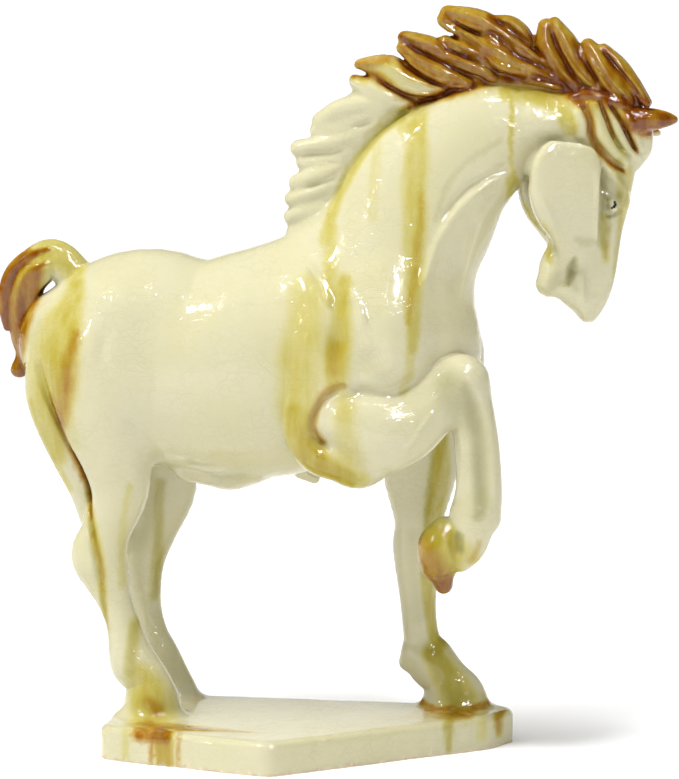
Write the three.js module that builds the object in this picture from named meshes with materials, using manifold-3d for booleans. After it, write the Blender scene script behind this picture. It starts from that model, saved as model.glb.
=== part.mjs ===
// A prancing horse of glazed earthenware on a low plinth, cast in one piece.
// Millimetres. X runs the way the horse faces, Y to its left, Z up.
// The origin is the middle of the plinth's underside.
import * as THREE from 'three';
import { mergeVertices } from 'three/addons/utils/BufferGeometryUtils.js';
import Module from 'manifold-3d';

// Driving sizes
const figureHeight = 283;
const plinthThickness = 13.3;
const plinthEdgeRadius = 3;
const plinthCornerRadius = 8;
// The plinth's reach, from the middle of the hoof nearest to each end
const plinthBehindHoof = 16.5;
const plinthAheadOfHoof = 25.5;
const plinthBeyondHoof = 9;
// The plinth's reach to the near side, from the horse's midline
const plinthNearReach = 59.5;
const plinthNearReachAtBack = 41;
// How far the far edge draws in between the hooves
const plinthWaist = 5;

// How finely the free form is cut into facets
const surfaceStep = figureHeight / 175;
const figureTriangles = 9300;
const stepsPerSpan = 4;

// Every place on the figure is in thousandths of its height: forward from the
// plinth's middle, left from the horse's midline, and up from the plinth's top.
const share = figureHeight / 1000;

const lerp = (from, to, t) => from + (to - from) * t;
const dot = (a, b) => a[0] * b[0] + a[1] * b[1] + a[2] * b[2];
const minus = (a, b) => [a[0] - b[0], a[1] - b[1], a[2] - b[2]];
const unit = (a) => {
  const length = Math.hypot(a[0], a[1], a[2]) || 1;
  return [a[0] / length, a[1] / length, a[2] / length];
};
const cross = (a, b) => [
  a[1] * b[2] - a[2] * b[1],
  a[2] * b[0] - a[0] * b[2],
  a[0] * b[1] - a[1] * b[0],
];

// A smooth path through stations, each a row of numbers: a place, then half-widths.
function smoothPath(stations) {
  const rows = [];
  const last = stations.length - 1;
  for (let span = 0; span < last; span += 1) {
    const before = stations[Math.max(span - 1, 0)];
    const from = stations[span];
    const to = stations[span + 1];
    const after = stations[Math.min(span + 2, last)];
    for (let step = 0; step < stepsPerSpan; step += 1) {
      const t = step / stepsPerSpan;
      rows.push(from.map((value, i) => 0.5 * (2 * value + (to[i] - before[i]) * t
        + (2 * before[i] - 5 * value + 4 * to[i] - after[i]) * t * t
        + (3 * value - before[i] - 3 * to[i] + after[i]) * t * t * t)));
    }
  }
  rows.push(stations[last]);
  return rows;
}

// The box around a path, grown by a margin.
function boxAround(rows, margin) {
  const low = [Infinity, Infinity, Infinity];
  const high = [-Infinity, -Infinity, -Infinity];
  for (const row of rows) {
    const reach = Math.max(row[3] || 0, row[4] || 0) + margin;
    for (let axis = 0; axis < 3; axis += 1) {
      low[axis] = Math.min(low[axis], row[axis] - reach);
      high[axis] = Math.max(high[axis], row[axis] + reach);
    }
  }
  return { low, high };
}

// One short length of a sweep: an elliptical bar with rounded ends.
function barBetween(from, to, side, square) {
  const axis = minus(to, from);
  const along = unit(axis);
  const off = dot(side, along);
  const across = unit([side[0] - along[0] * off, side[1] - along[1] * off, side[2] - along[2] * off]);
  const deep = cross(along, across);
  return { from, to, axis, along, across, deep, square, squared: dot(axis, axis) || 1e-9 };
}

function distanceToBar(bar, x, y, z) {
  const { from, to, axis, along, across, deep } = bar;
  const px = x - from[0];
  const py = y - from[1];
  const pz = z - from[2];
  const t = Math.min(Math.max((px * axis[0] + py * axis[1] + pz * axis[2]) / bar.squared, 0), 1);
  const vx = px - axis[0] * t;
  const vy = py - axis[1] * t;
  const vz = pz - axis[2] * t;
  const halfAcross = from[3] + (to[3] - from[3]) * t;
  const halfDeep = from[4] + (to[4] - from[4]) * t;
  const halfAlong = (halfAcross + halfDeep) / 2;
  const u = Math.abs(vx * across[0] + vy * across[1] + vz * across[2]) / halfAcross;
  const v = Math.abs(vx * deep[0] + vy * deep[1] + vz * deep[2]) / halfDeep;
  const w = Math.abs(vx * along[0] + vy * along[1] + vz * along[2]) / halfAlong;
  const power = bar.square;
  const inner = Math.max((u ** power + v ** power + w ** power) ** (1 / power), 1e-6);
  const slope = Math.hypot(
    u ** (power - 1) / halfAcross,
    v ** (power - 1) / halfDeep,
    w ** (power - 1) / halfAlong,
  );
  return slope > 1e-9 ? ((inner - 1) * inner ** (power - 1)) / slope : -Math.min(halfAcross, halfDeep);
}

// The masses are added one by one. Each is a sweep through stations
// [forward, left, up, half-width across, half-width deep], and blend is how softly
// it runs into what is already there. A square above 2 flattens its section towards a
// rounded box.
const masses = [];
function mass(stations, blend, side = [0, 1, 0], square = 2) {
  const rows = smoothPath(stations).map((row) => row.map((value) => value * share));
  for (const row of rows) {
    row[3] = Math.max(row[3], share);
    row[4] = Math.max(row[4], share);
  }
  const bars = rows.slice(1).map((row, i) => barBetween(rows[i], row, side, square));
  masses.push({ bars, blend: blend * share, box: boxAround(rows, (blend + 16) * share) });
}

// A relief is a soft ridge or groove laid along a path on one side of the figure.
// Each station is a place; height is how far it stands out, or in if it is negative.
// It eases in and out over a few widths at its ends.
const reliefs = [];
const reliefEase = 3;
const reliefTip = 0.15;
function relief(stations, width, height, facing, depth) {
  const rows = smoothPath(stations).map((row) => row.map((value) => value * share));
  const box = boxAround(rows, Math.max(width * 2.2, depth) * share);
  const runs = [0];
  rows.slice(1).forEach((row, i) => runs.push(runs[i] + Math.hypot(...minus(row, rows[i]))));
  const length = runs[runs.length - 1];
  const strengths = runs.map((run) => Math.min(Math.max(
    Math.min(run, length - run) / (reliefEase * width * share), reliefTip), 1));
  reliefs.push({
    rows,
    strengths,
    width: width * share,
    height: height * share,
    facing,
    depth: depth * share,
    box,
  });
}

function reliefHeight(line, x, y, z) {
  const { rows, facing, strengths } = line;
  let nearest = Infinity;
  let level = 0;
  let strength = 0;
  for (let i = 0; i + 1 < rows.length; i += 1) {
    const a = rows[i];
    const axis = minus(rows[i + 1], a);
    const flat = dot(axis, facing);
    const run = [axis[0] - facing[0] * flat, axis[1] - facing[1] * flat, axis[2] - facing[2] * flat];
    const place = [x - a[0], y - a[1], z - a[2]];
    const t = Math.min(Math.max(dot(place, run) / (dot(run, run) || 1e-9), 0), 1);
    const gap = [place[0] - axis[0] * t, place[1] - axis[1] * t, place[2] - axis[2] * t];
    const out = dot(gap, facing);
    const squared = Math.max(dot(gap, gap) - out * out, 0);
    if (squared < nearest) {
      nearest = squared;
      level = out;
      strength = lerp(strengths[i], strengths[i + 1], t);
    }
  }
  const fade = Math.max(1 - (level / line.depth) ** 2, 0);
  return line.height * strength * Math.exp(-nearest / (line.width * line.width)) * fade;
}

// The shape is where the distance to all these masses is nought.
const largestDistance = 1000;
function blendedMin(a, b, reach) {
  const overlap = Math.max(reach - Math.abs(a - b), 0);
  return Math.min(a, b) - (overlap * overlap) / (4 * reach);
}
const holds = ({ low, high }, x, y, z) => x > low[0] && x < high[0]
  && y > low[1] && y < high[1] && z > low[2] && z < high[2];
const touches = ({ low, high }, from, to) => from.every((value, axis) => (
  value < high[axis] && to[axis] > low[axis]));

function distanceTo(x, y, z, someMasses, someReliefs) {
  let distance = largestDistance;
  for (const { bars, blend, box } of someMasses) {
    if (holds(box, x, y, z)) {
      let own = largestDistance;
      for (const bar of bars) {
        own = Math.min(own, distanceToBar(bar, x, y, z));
      }
      distance = blendedMin(distance, own, blend);
    }
  }
  for (const line of someReliefs) {
    if (holds(line.box, x, y, z)) {
      distance -= reliefHeight(line, x, y, z);
    }
  }
  return distance;
}

// Places laid on the figure as it is so far: each is moved along facing to where it is met.
const seekReach = 180;
const seekStep = 4.5;
function laidOn(places, facing) {
  return places.map(([ahead, left, up, ...widths]) => {
    const at = (offset) => [ahead, left, up].map((value, axis) => value + facing[axis] * offset);
    let before = largestDistance;
    let found = at(0);
    for (let offset = seekReach; offset > -seekReach; offset -= seekStep) {
      const here = distanceTo(...at(offset).map((value) => value * share), masses, reliefs);
      if (here < 0) {
        found = at(offset + (seekStep * here) / (here - before));
        break;
      }
      before = here;
    }
    return [...found, ...widths];
  });
}

// The head is carved upright in a frame of its own, [towards the face, to the
// horse's right, up], and turned a little to the horse's left at the poll.
const poll = [389.5, 20, 858];
const headTurn = THREE.MathUtils.degToRad(20);
const faceAhead = [Math.cos(headTurn), Math.sin(headTurn), 0];
const faceRight = [Math.sin(headTurn), -Math.cos(headTurn), 0];
const onHead = ([ahead, right, up, ...widths]) => [
  poll[0] + faceAhead[0] * ahead + faceRight[0] * right,
  poll[1] + faceAhead[1] * ahead + faceRight[1] * right,
  poll[2] + up,
  ...widths,
];
const headMass = (stations, blend, square) => mass(stations.map(onHead), blend, faceRight, square);
const bothCheeks = (stations, blend, square) => {
  headMass(stations, blend, square);
  headMass(stations.map(([ahead, right, ...rest]) => [ahead, -right, ...rest]), blend, square);
};
// A groove or ridge, and a raised strand, along places [ahead, up] on both sides of the head
const faceDepth = 15;
const cheekSides = [1, -1].map((sign) => faceRight.map((value) => value * sign));
function faceRelief(path, width, height) {
  const places = path.map(([ahead, up]) => onHead([ahead, 0, up]));
  for (const side of cheekSides) {
    relief(laidOn(places, side), width, height, side, faceDepth);
  }
}
function faceStrand(path, blend, sunk, flat) {
  const places = path.map(([ahead, up, half]) => onHead([ahead, 0, up, half]));
  for (const side of cheekSides) {
    mass(laidOn(places, side).map(([ahead, left, up, half]) => [
      ahead - side[0] * sunk * half * flat,
      left - side[1] * sunk * half * flat,
      up,
      half * flat,
      half,
    ]), blend, faceRight);
  }
}
// A groove or ridge along places [ahead, up] on the horse's flanks
const nearSide = [0, -1, 0];
const farSide = [0, 1, 0];
const flankDepth = 40;
function flankRelief(path, width, height, sides = [nearSide, farSide], depth = flankDepth) {
  const places = path.map(([ahead, up]) => [ahead, 0, up]);
  for (const side of sides) {
    relief(laidOn(places, side), width, height, side, depth);
  }
}

// Barrel, from the rump to the breast
mass([
  [-345, 0, 522, 66, 80],
  [-287, 0, 507, 90, 129],
  [-229, 0, 504, 100, 151],
  [-157, 0, 488, 110, 147],
  [-86, 0, 490, 117, 158],
  [-14, 0, 502, 112, 158],
  [57, 0, 513, 100, 152],
  [122, 0, 520, 86, 130],
  [165, 0, 522, 60, 92],
], 40);
// Withers
mass([
  [-120, 0, 606, 40, 26],
  [-60, 0, 627, 40, 30],
  [-10, 0, 645, 36, 34],
  [40, 0, 664, 34, 36],
], 30);

// Neck, arched up and over to the poll
mass([
  [75, 0, 560, 92, 125],
  [118, 0, 636, 78, 109],
  [147, 3, 706, 66, 112],
  [185, 6, 765, 57, 99],
  [243, 12, 810, 49, 80],
  [305, 18, 833, 40, 52],
  [352, 20, 836, 36, 40],
], 50);

// Near hind leg: haunch, hock, cannon, fetlock and hoof
mass([
  [-262, -45, 560, 50, 60],
  [-280, -62, 500, 48, 78],
  [-285, -66, 440, 46, 66],
  [-270, -64, 376, 40, 52],
  [-262, -60, 320, 32, 43],
  [-281, -58, 262, 25, 35],
  [-292, -57, 226, 27, 40],
  [-283, -57, 198, 25, 34],
  [-270, -57, 162, 20, 25],
  [-258, -57, 127, 20, 24],
  [-249, -58, 91, 24, 30],
  [-241, -58, 70, 27, 34],
  [-222, -59, 47, 26, 31],
  [-217, -59, 20, 32, 39],
  [-217, -59, -8, 36, 45],
], 30);
mass([
  [-335, -36, 540, 40, 54],
  [-352, -42, 470, 34, 48],
  [-354, -42, 430, 30, 39],
  [-336, -40, 371, 24, 31],
  [-317, -38, 314, 19, 21],
  [-307, -40, 264, 12, 13],
], 8);

// Far hind leg
mass([
  [-262, 45, 548, 50, 60],
  [-280, 60, 490, 48, 76],
  [-285, 64, 430, 45, 64],
  [-246, 62, 355, 40, 66],
  [-225, 58, 306, 32, 50],
  [-240, 57, 243, 24, 35],
  [-258, 57, 198, 26, 35],
  [-253, 57, 140, 19, 25],
  [-242, 57, 96, 19, 22],
  [-229, 57, 60, 25, 27],
  [-216, 57, 31, 25, 28],
  [-213, 57, 4, 31, 38],
  [-213, 57, -10, 33, 41],
], 30);
mass([
  [-335, 36, 530, 40, 52],
  [-352, 42, 432, 30, 37],
  [-335, 40, 360, 24, 29],
  [-300, 42, 300, 17, 19],
], 10);

// Far foreleg, which stands
mass([
  [152, 46, 430, 44, 68],
  [148, 56, 340, 34, 54],
  [146, 60, 268, 28, 35],
  [144, 62, 225, 28, 35],
  [145, 63, 153, 21, 26],
  [151, 63, 95, 21, 26],
  [163, 63, 64, 27, 36],
  [184, 63, 39, 26, 34],
  [198, 63, 12, 31, 45],
  [200, 63, -8, 33, 48],
], 22);
mass([
  [138, 63, 78, 16, 16],
  [131, 63, 62, 15, 13],
], 8);

// Near shoulder: its point, the blade with its edge behind, and the pouch round the elbow
mass([
  [114, -58, 606, 34, 48],
  [119, -66, 562, 44, 56],
  [117, -70, 522, 46, 54],
  [110, -72, 492, 42, 42],
], 24);
mass([
  [60, -36, 642, 22, 50],
  [53, -55, 594, 38, 60],
  [45, -70, 545, 43, 61],
  [39, -74, 500, 43, 62],
  [30, -75, 465, 43, 55],
  [30, -76, 440, 42, 54],
], 5, undefined, 3);
mass([
  [3, -86, 440, 30, 25],
  [7, -86, 404, 32, 27],
  [28, -85, 382, 32, 30],
  [56, -85, 376, 32, 33],
  [82, -84, 368, 30, 34],
  [106, -82, 382, 28, 32],
], 6);

// Near forearm, lifted level, and its knee
mass([
  [66, -88, 431, 38, 44],
  [110, -86, 415, 42, 57],
  [140, -82, 420, 39, 52],
  [166, -74, 440, 35, 46],
  [188, -67, 463, 31, 40],
  [207, -63, 477, 30, 38],
  [222, -62, 484, 29, 37],
], 4);
// Near cannon hanging from the knee, the fetlock and the curled hoof
mass([
  [222, -62, 482, 28, 37],
  [236, -61, 437, 25, 31],
  [243, -60, 389, 23, 31],
  [246, -60, 333, 24, 32],
  [241, -60, 297, 26, 36],
], 12);
mass([
  [238, -60, 290, 25, 31],
  [230, -59, 256, 23, 27],
  [220, -58, 236, 20, 19],
], 6);
mass([
  [200, -58, 270, 24, 24],
  [190, -58, 250, 29, 30],
  [191, -58, 226, 26, 26],
], 4);
mass([
  [192, -58, 222, 20, 21],
  [197, -58, 199, 15, 13],
], 2);

// Far shoulder, which shows as the front of the breast
mass([
  [140, 50, 560, 44, 56],
  [183, 54, 510, 42, 56],
  [165, 52, 430, 38, 58],
], 10);

// Sheath and the fold behind the elbow
mass([
  [-175, 0, 345, 24, 20],
  [-140, 0, 332, 16, 14],
  [-112, 0, 334, 30, 20],
  [-85, 0, 342, 40, 20],
], 12);
mass([
  [-16, 24, 340, 14, 12],
  [2, 24, 330, 8, 8],
], 8);

// Head: skull, bridge of the nose, jaw, lip and chin
headMass([
  [0, 0, -8, 36, 40],
  [18, 0, -45, 35, 38],
  [26, 0, -90, 29, 34],
], 18);
headMass([
  [26, 0, -60, 28, 30],
  [28, 0, -112, 26, 30],
  [17, 0, -170, 21, 28],
  [8, 0, -230, 19, 28],
  [1, 0, -262, 20, 25],
  [-2, 0, -286, 14, 14],
], 10);
headMass([
  [-34, 0, -85, 30, 56],
  [-28, 0, -140, 26, 42],
  [-28, 0, -195, 20, 33],
  [-40, 0, -228, 19, 34],
  [-58, 0, -245, 16, 19],
], 9);
headMass([
  [-44, 0, -240, 18, 20],
  [-26, 0, -258, 17, 18],
  [-4, 0, -276, 16, 18],
], 6);
// Flat cheeks, each with a raised edge in front
bothCheeks([
  [-41, 33, -73, 13, 36],
  [-43, 33, -85, 13, 44],
  [-46, 31, -105, 14, 48],
  [-44, 29, -129, 15, 43],
  [-37, 26, -150, 15, 36],
  [-31, 22, -168, 14, 31],
  [-28, 17, -182, 12, 28],
], 3, 5);
faceRelief([[-3, -84], [-2, -127], [-2, -155], [0, -175], [3, -200]], 4.5, 3.5);
faceRelief([[7, -90], [8, -127], [9, -155], [10, -176]], 5, -4);
// Eyes in their sockets, brows, and the lines down the nose
faceRelief([[21, -118], [24, -134], [24, -150]], 13, -9);
faceRelief([[7, -84], [19, -94], [31, -104], [41, -117], [46, -132], [44, -146]], 6, 7);
faceStrand([[24, -130, 9], [25, -138, 9]], 1, -0.25, 1);
faceRelief([[14, -152], [14, -176], [16, -200]], 6, -5);
faceRelief([[26, -153], [25, -198], [23, -253]], 5, 3);
// The hollow below the cheek, the muzzle, the corner of the mouth and the lips
faceRelief([[-26, -182], [-11, -187], [2, -187]], 8, -7);
faceRelief([[-62, -204], [-30, -203], [2, -206]], 9, 3);
faceRelief([[-27, -208], [-30, -222], [-34, -240]], 7, -11);
faceRelief([[-33, -226], [-43, -238], [-52, -250]], 6, -6);
faceRelief([[-16, -222], [-15, -246], [-14, -274]], 5, 4);
faceRelief([[0, -240], [3, -268]], 8, -4);

// Ears, laid forward
headMass([
  [46, 28, -18, 15, 16],
  [64, 30, -18, 15, 16],
  [80, 30, -18, 13, 15],
  [95, 29, -18, 10, 11.5],
  [106, 28, -18.5, 7, 7.5],
  [112, 27, -19, 4, 4],
], 3);
headMass([
  [40, -28, -22, 15, 16],
  [75, -28, -32, 12, 14],
  [103, -26, -40, 4, 4],
], 4);

// Forelock: a full middle with strands falling over it on both sides
headMass([
  [25, 0, 0, 34, 18],
  [58, 0, -28, 29, 24],
  [69, 0, -55, 23, 17],
  [61, 0, -77, 17, 12],
], 6);
faceStrand([[-22, -8, 9], [-21, -22, 12], [-20, -36, 10]], 3, 0.4, 0.8);
const forelockStrands = [
  [[-7, 0, 9], [-1, -18, 11], [6, -34, 12], [15, -49, 12], [26, -62, 11], [38, -74, 9]],
  [[8, 4, 6], [18, -15, 8], [27, -33, 9], [38, -50, 9], [50, -62, 9], [57, -70, 7]],
  [[20, 5, 6], [31, -8, 8], [41, -20, 8], [49, -34, 8], [58, -47, 8], [64, -57, 6]],
  [[-30, 13, 6], [-17, 16, 7], [0, 14, 7], [15, 9, 7], [30, 3, 7], [44, -3, 5]],
];
for (const strand of forelockStrands) {
  faceStrand(strand, 2, 0.15, 1);
}
faceRelief([
  [-24, 5], [-16, -7], [-11, -20], [-9, -34], [-7, -42],
  [0, -54], [9, -65], [20, -75], [32, -83], [41, -90],
], 4.5, -6);
faceRelief([[4, 2], [11, -15], [17, -33], [26, -50], [38, -65]], 4, -5);
faceRelief([[16, 3], [26, -10], [34, -22], [42, -37], [50, -52], [58, -64]], 4, -5);

// Tail, arched up and falling behind the rump in three strands
mass([
  [-325, 0, 602, 22, 26],
  [-355, 0, 632, 22, 28],
  [-376, 0, 638, 21, 27],
  [-399, 0, 623, 20, 25],
  [-411, 0, 594, 17, 22],
  [-414, 0, 559, 14, 20],
  [-418, 0, 526, 10, 13],
  [-418, 0, 501, 7, 6],
  [-419, 0, 479, 10, 13],
], 5);
const tailStrands = [
  [
    [-372, 10, 652, 9, 11], [-402, 12, 640, 9, 11], [-427, 11, 616, 9, 10],
    [-437, 9, 578, 8, 10], [-433, 6, 541, 6, 7],
  ],
  [
    [-372, 17, 630, 9, 14], [-400, 17, 614, 9, 15], [-416, 13, 578, 8, 13],
    [-417, 9, 536, 6, 9], [-415, 5, 506, 4, 5],
  ],
  [[-376, 16, 616, 8, 10], [-393, 15, 596, 8, 9], [-398, 11, 566, 7, 9], [-405, 7, 530, 5, 6]],
];
for (const strand of tailStrands) {
  mass(strand, 3);
  mass(strand.map(([ahead, left, ...rest]) => [ahead, -left, ...rest]), 3);
}

// Mane: a crest along the neck
mass([
  [8, 0, 700, 13, 28],
  [22, 0, 744, 13, 38],
  [50, 0, 800, 13, 42],
  [86, 3, 852, 13, 36],
  [130, 5, 888, 13, 34],
  [186, 8, 912, 13, 40],
  [240, 12, 918, 13, 44],
  [292, 15, 912, 13, 46],
  [347, 18, 904, 13, 44],
  [398, 20, 890, 13, 42],
  [445, 24, 866, 13, 22],
], 4);
// Its locks from tip to root, [forward, up, half-width]: a softly waved fin below, then
// locks swept back above. Each lies on both faces of the mane, spreading towards its root.
const maneLean = 24;
const maneLength = 440;
const maneMiddle = (ahead) => maneLean * Math.min(Math.max(ahead / maneLength, 0), 1);
function maneLock(stations, blend, spread) {
  for (const face of [-1, 1]) {
    mass(stations.map(([ahead, up, half], i) => {
      const out = lerp(spread[0], spread[1], Math.min((1.6 * i) / (stations.length - 1), 1));
      return [ahead, maneMiddle(ahead) + face * out, up, 3 + 0.8 * half, half];
    }), blend);
  }
}
const finLocks = [
  [[-21, 682, 10], [1, 690, 13], [23, 705, 11], [38, 729, 6]],
  [[-24, 702, 11], [-6, 712, 13], [18, 723, 11], [40, 749, 6]],
  [[-24, 727, 10], [-4, 734, 11], [20, 744, 11], [45, 765, 6]],
  [[-17, 749, 11], [4, 759, 13], [30, 769, 11], [58, 793, 6]],
  [[-8, 779, 10], [16, 783, 11], [44, 789, 10], [75, 813, 6]],
  [[-15, 797, 11], [16, 802, 13], [51, 812, 11], [93, 835, 6]],
  [[10, 822, 8], [37, 826, 11], [69, 837, 10], [100, 846, 6]],
  [[16, 836, 11], [44, 851, 15], [74, 857, 13], [107, 856, 8]],
  [[67, 890, 11], [91, 879, 17], [116, 868, 14], [141, 860, 6]],
];
for (const lock of finLocks) {
  maneLock(lock, 8, [5, 12]);
}
const sweptLocks = [
  [[73, 912, 10], [108, 905, 22], [144, 886, 19], [183, 877, 10]],
  [[130, 936, 9], [155, 915, 17], [186, 899, 17], [219, 889, 9]],
  [[133, 950, 10], [168, 937, 15], [208, 917, 13], [255, 898, 8]],
  [[190, 946, 9], [207, 938, 12], [224, 930, 10], [240, 924, 6]],
  [[188, 975, 11], [226, 946, 15], [270, 921, 22], [348, 887, 8]],
  [[260, 974, 8], [278, 968, 12], [296, 955, 10], [310, 940, 6]],
  [[192, 984, 11], [237, 970, 18], [287, 940, 15], [335, 908, 7]],
  [[326, 966, 11], [329, 936, 17], [346, 906, 18], [371, 882, 8]],
  [[338, 970, 9], [354, 940, 17], [373, 912, 15], [397, 884, 8]],
  [[405, 934, 9], [425, 912, 13], [446, 888, 10], [465, 863, 6]],
  [[384, 940, 10], [398, 917, 18], [417, 889, 18], [441, 866, 8]],
];
for (const lock of sweptLocks) {
  maneLock(lock, 3, [6, 12]);
}
// The creases between them, and the hollows along the fin
const creaseDepth = 16;
const maneCreases = [
  [[61, 904], [90, 900], [111, 886], [136, 873], [164, 867], [182, 872], [198, 877]],
  [[126, 925], [140, 910], [154, 902], [173, 891], [187, 888], [212, 888]],
  [[130, 951], [143, 940], [170, 926], [195, 915], [223, 901], [249, 895]],
  [[184, 941], [194, 933], [219, 926], [239, 921]],
  [
    [188, 958], [209, 951], [228, 940], [242, 925], [257, 908],
    [267, 901], [312, 896], [342, 890], [370, 878],
  ],
  [
    [192, 982], [206, 969], [232, 959], [260, 954], [275, 940],
    [294, 924], [322, 912], [340, 900], [360, 884],
  ],
  [[253, 977], [267, 969], [289, 954], [309, 938]],
  [[306, 958], [309, 940], [324, 924], [335, 911], [352, 890]],
  [[334, 962], [343, 942], [357, 912], [370, 888]],
  [[366, 945], [373, 926], [387, 908], [400, 889], [404, 883]],
  [[407, 933], [424, 911], [445, 886], [462, 864]],
];
for (const crease of maneCreases) {
  flankRelief(crease, 4, -5, undefined, creaseDepth);
}
flankRelief([[56, 828], [76, 832], [98, 839]], 5, -4, undefined, creaseDepth);
flankRelief([[-17, 790], [14, 790], [42, 791], [62, 799], [76, 812]], 8, -5, undefined, creaseDepth);
flankRelief([[-7, 743], [14, 749], [34, 756], [46, 767]], 5, -4, undefined, creaseDepth);
flankRelief([[-23, 711], [-7, 715], [11, 722], [31, 732], [42, 744]], 8, -5, undefined, creaseDepth);

// The neck's groove and ridges
flankRelief([[289, 782], [264, 769], [244, 758], [227, 748], [214, 734], [203, 720], [192, 700]], 6, -5);
flankRelief([
  [262, 757], [236, 738], [216, 718], [200, 695],
  [188, 672], [180, 650], [174, 628], [170, 606],
], 7, 5);
flankRelief([[241, 718], [228, 691], [217, 663], [210, 628], [203, 594]], 11, -4);
flankRelief([[277, 745], [256, 721], [242, 696], [232, 662], [223, 627], [218, 593]], 6, 3);
// The shoulder blade's upper edge, the ridge ahead of it, and the flat below that
flankRelief([[3, 648], [24, 628], [38, 604], [46, 578]], 6, 5, [nearSide]);
flankRelief([[68, 614], [80, 598], [90, 578], [93, 556]], 6, 5, [nearSide]);
flankRelief([[94, 545], [102, 515], [112, 488]], 21, -12, [nearSide]);
// The hollow and the ring above the near elbow, and the groove between shoulder and forearm
flankRelief([[57, 580], [56, 547], [57, 520], [56, 494]], 13, -9, [nearSide]);
flankRelief([
  [64, 476], [51, 469], [37, 458], [26, 441],
  [23, 427], [27, 409], [37, 395], [51, 386],
], 5, -6, [nearSide]);
flankRelief([[66, 478], [98, 475], [119, 474], [133, 479], [151, 490], [165, 502]], 5, -4, [nearSide]);
// The raised foreleg's hollow panel, and the pit and rim of its hoof
flankRelief([[229, 481], [239, 447], [247, 406], [251, 364], [252, 323], [248, 300]], 11, -9, [nearSide]);
flankRelief([[222, 271], [223, 253]], 9, -7, [nearSide]);
// The rump's crease, which runs down to the hock, and the hollows of the haunch
flankRelief([
  [-376, 508], [-369, 480], [-360, 452], [-350, 424], [-341, 403], [-332, 382], [-322, 365], [-312, 347],
  [-305, 326], [-301, 304], [-299, 276], [-293, 244], [-288, 214], [-285, 180],
], 5, -6);
flankRelief([[-262, 561], [-272, 526], [-270, 491]], 9, -3);
flankRelief([[-244, 438], [-235, 417], [-229, 396]], 9, -3);

// Distances on a grid. Blocks well away from the surface only get their sign.
function fillGrid() {
  const low = [0, 1, 2].map((axis) => Math.min(...masses.map(({ box }) => box.low[axis])));
  const high = [0, 1, 2].map((axis) => Math.max(...masses.map(({ box }) => box.high[axis])));
  const blockCells = 4;
  const blockSize = blockCells * surfaceStep;
  const blocks = low.map((value, axis) => Math.ceil((high[axis] - value) / blockSize));
  const count = blocks.map((number) => number * blockCells + 1);
  const values = new Float32Array(count[0] * count[1] * count[2]).fill(1);
  const farEnough = blockSize * Math.sqrt(3) * 0.5 * 1.25 + 3 * surfaceStep;
  for (let bz = 0; bz < blocks[2]; bz += 1) {
    for (let by = 0; by < blocks[1]; by += 1) {
      for (let bx = 0; bx < blocks[0]; bx += 1) {
        const start = [bx, by, bz].map((block, axis) => low[axis] + block * blockSize);
        const end = start.map((value) => value + blockSize);
        const someMasses = masses.filter(({ box }) => touches(box, start, end));
        if (someMasses.length > 0) {
          const someReliefs = reliefs.filter(({ box }) => touches(box, start, end));
          const middle = start.map((value) => value + blockSize / 2);
          const rough = distanceTo(...middle, someMasses, someReliefs);
          const exact = Math.abs(rough) < farEnough;
          for (let k = 0; k <= blockCells; k += 1) {
            for (let j = 0; j <= blockCells; j += 1) {
              for (let i = 0; i <= blockCells; i += 1) {
                const at = (bx * blockCells + i)
                  + count[0] * ((by * blockCells + j) + count[1] * (bz * blockCells + k));
                if (exact) {
                  values[at] = distanceTo(start[0] + i * surfaceStep, start[1] + j * surfaceStep,
                    start[2] + k * surfaceStep, someMasses, someReliefs);
                } else if (rough < 0 && values[at] === 1) {
                  values[at] = -1;
                }
              }
            }
          }
        }
      }
    }
  }
  return { low, count, values };
}

// The surface through the grid. In every cell the crossed edges are joined face by
// face into closed loops, and each loop is filled with triangles, so the skin is closed.
const cellFaces = [
  [0, 4, 6, 2], [1, 3, 7, 5],
  [0, 1, 5, 4], [2, 6, 7, 3],
  [0, 2, 3, 1], [4, 5, 7, 6],
];
function skinOf({ low, count, values }) {
  const [nx, ny, nz] = count;
  const stride = [1, nx, nx * ny];
  const places = [];
  const triangles = [];
  const crossings = new Map();
  const corner = (base, number) => base + (number & 1) * stride[0]
    + ((number >> 1) & 1) * stride[1] + ((number >> 2) & 1) * stride[2];
  const placeOf = (node) => [
    low[0] + (node % nx) * surfaceStep,
    low[1] + (Math.floor(node / nx) % ny) * surfaceStep,
    low[2] + Math.floor(node / stride[2]) * surfaceStep,
  ];
  const crossing = (a, b) => {
    const key = Math.min(a, b) * 3 + stride.indexOf(Math.abs(a - b));
    if (!crossings.has(key)) {
      const along = Math.min(Math.max(values[a] / (values[a] - values[b]), 0.03), 0.97);
      const from = placeOf(a);
      const to = placeOf(b);
      crossings.set(key, places.length);
      places.push(from.map((value, axis) => lerp(value, to[axis], along)));
    }
    return crossings.get(key);
  };
  for (let z = 0; z + 1 < nz; z += 1) {
    for (let y = 0; y + 1 < ny; y += 1) {
      for (let x = 0; x + 1 < nx; x += 1) {
        const base = x + y * stride[1] + z * stride[2];
        let inside = 0;
        for (let number = 0; number < 8; number += 1) {
          inside += values[corner(base, number)] < 0 ? 1 : 0;
        }
        if (inside > 0 && inside < 8) {
          const next = new Map();
          for (const face of cellFaces) {
            const nodes = face.map((number) => corner(base, number));
            for (let i = 0; i < 4; i += 1) {
              const entered = values[nodes[i]] >= 0 && values[nodes[(i + 1) % 4]] < 0;
              if (entered) {
                let end = i + 1;
                while (values[nodes[(end + 1) % 4]] < 0) {
                  end += 1;
                }
                const from = crossing(nodes[end % 4], nodes[(end + 1) % 4]);
                next.set(from, crossing(nodes[i], nodes[(i + 1) % 4]));
              }
            }
          }
          fillLoops(next, places, triangles);
        }
      }
    }
  }
  return { places, triangles };
}

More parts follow.
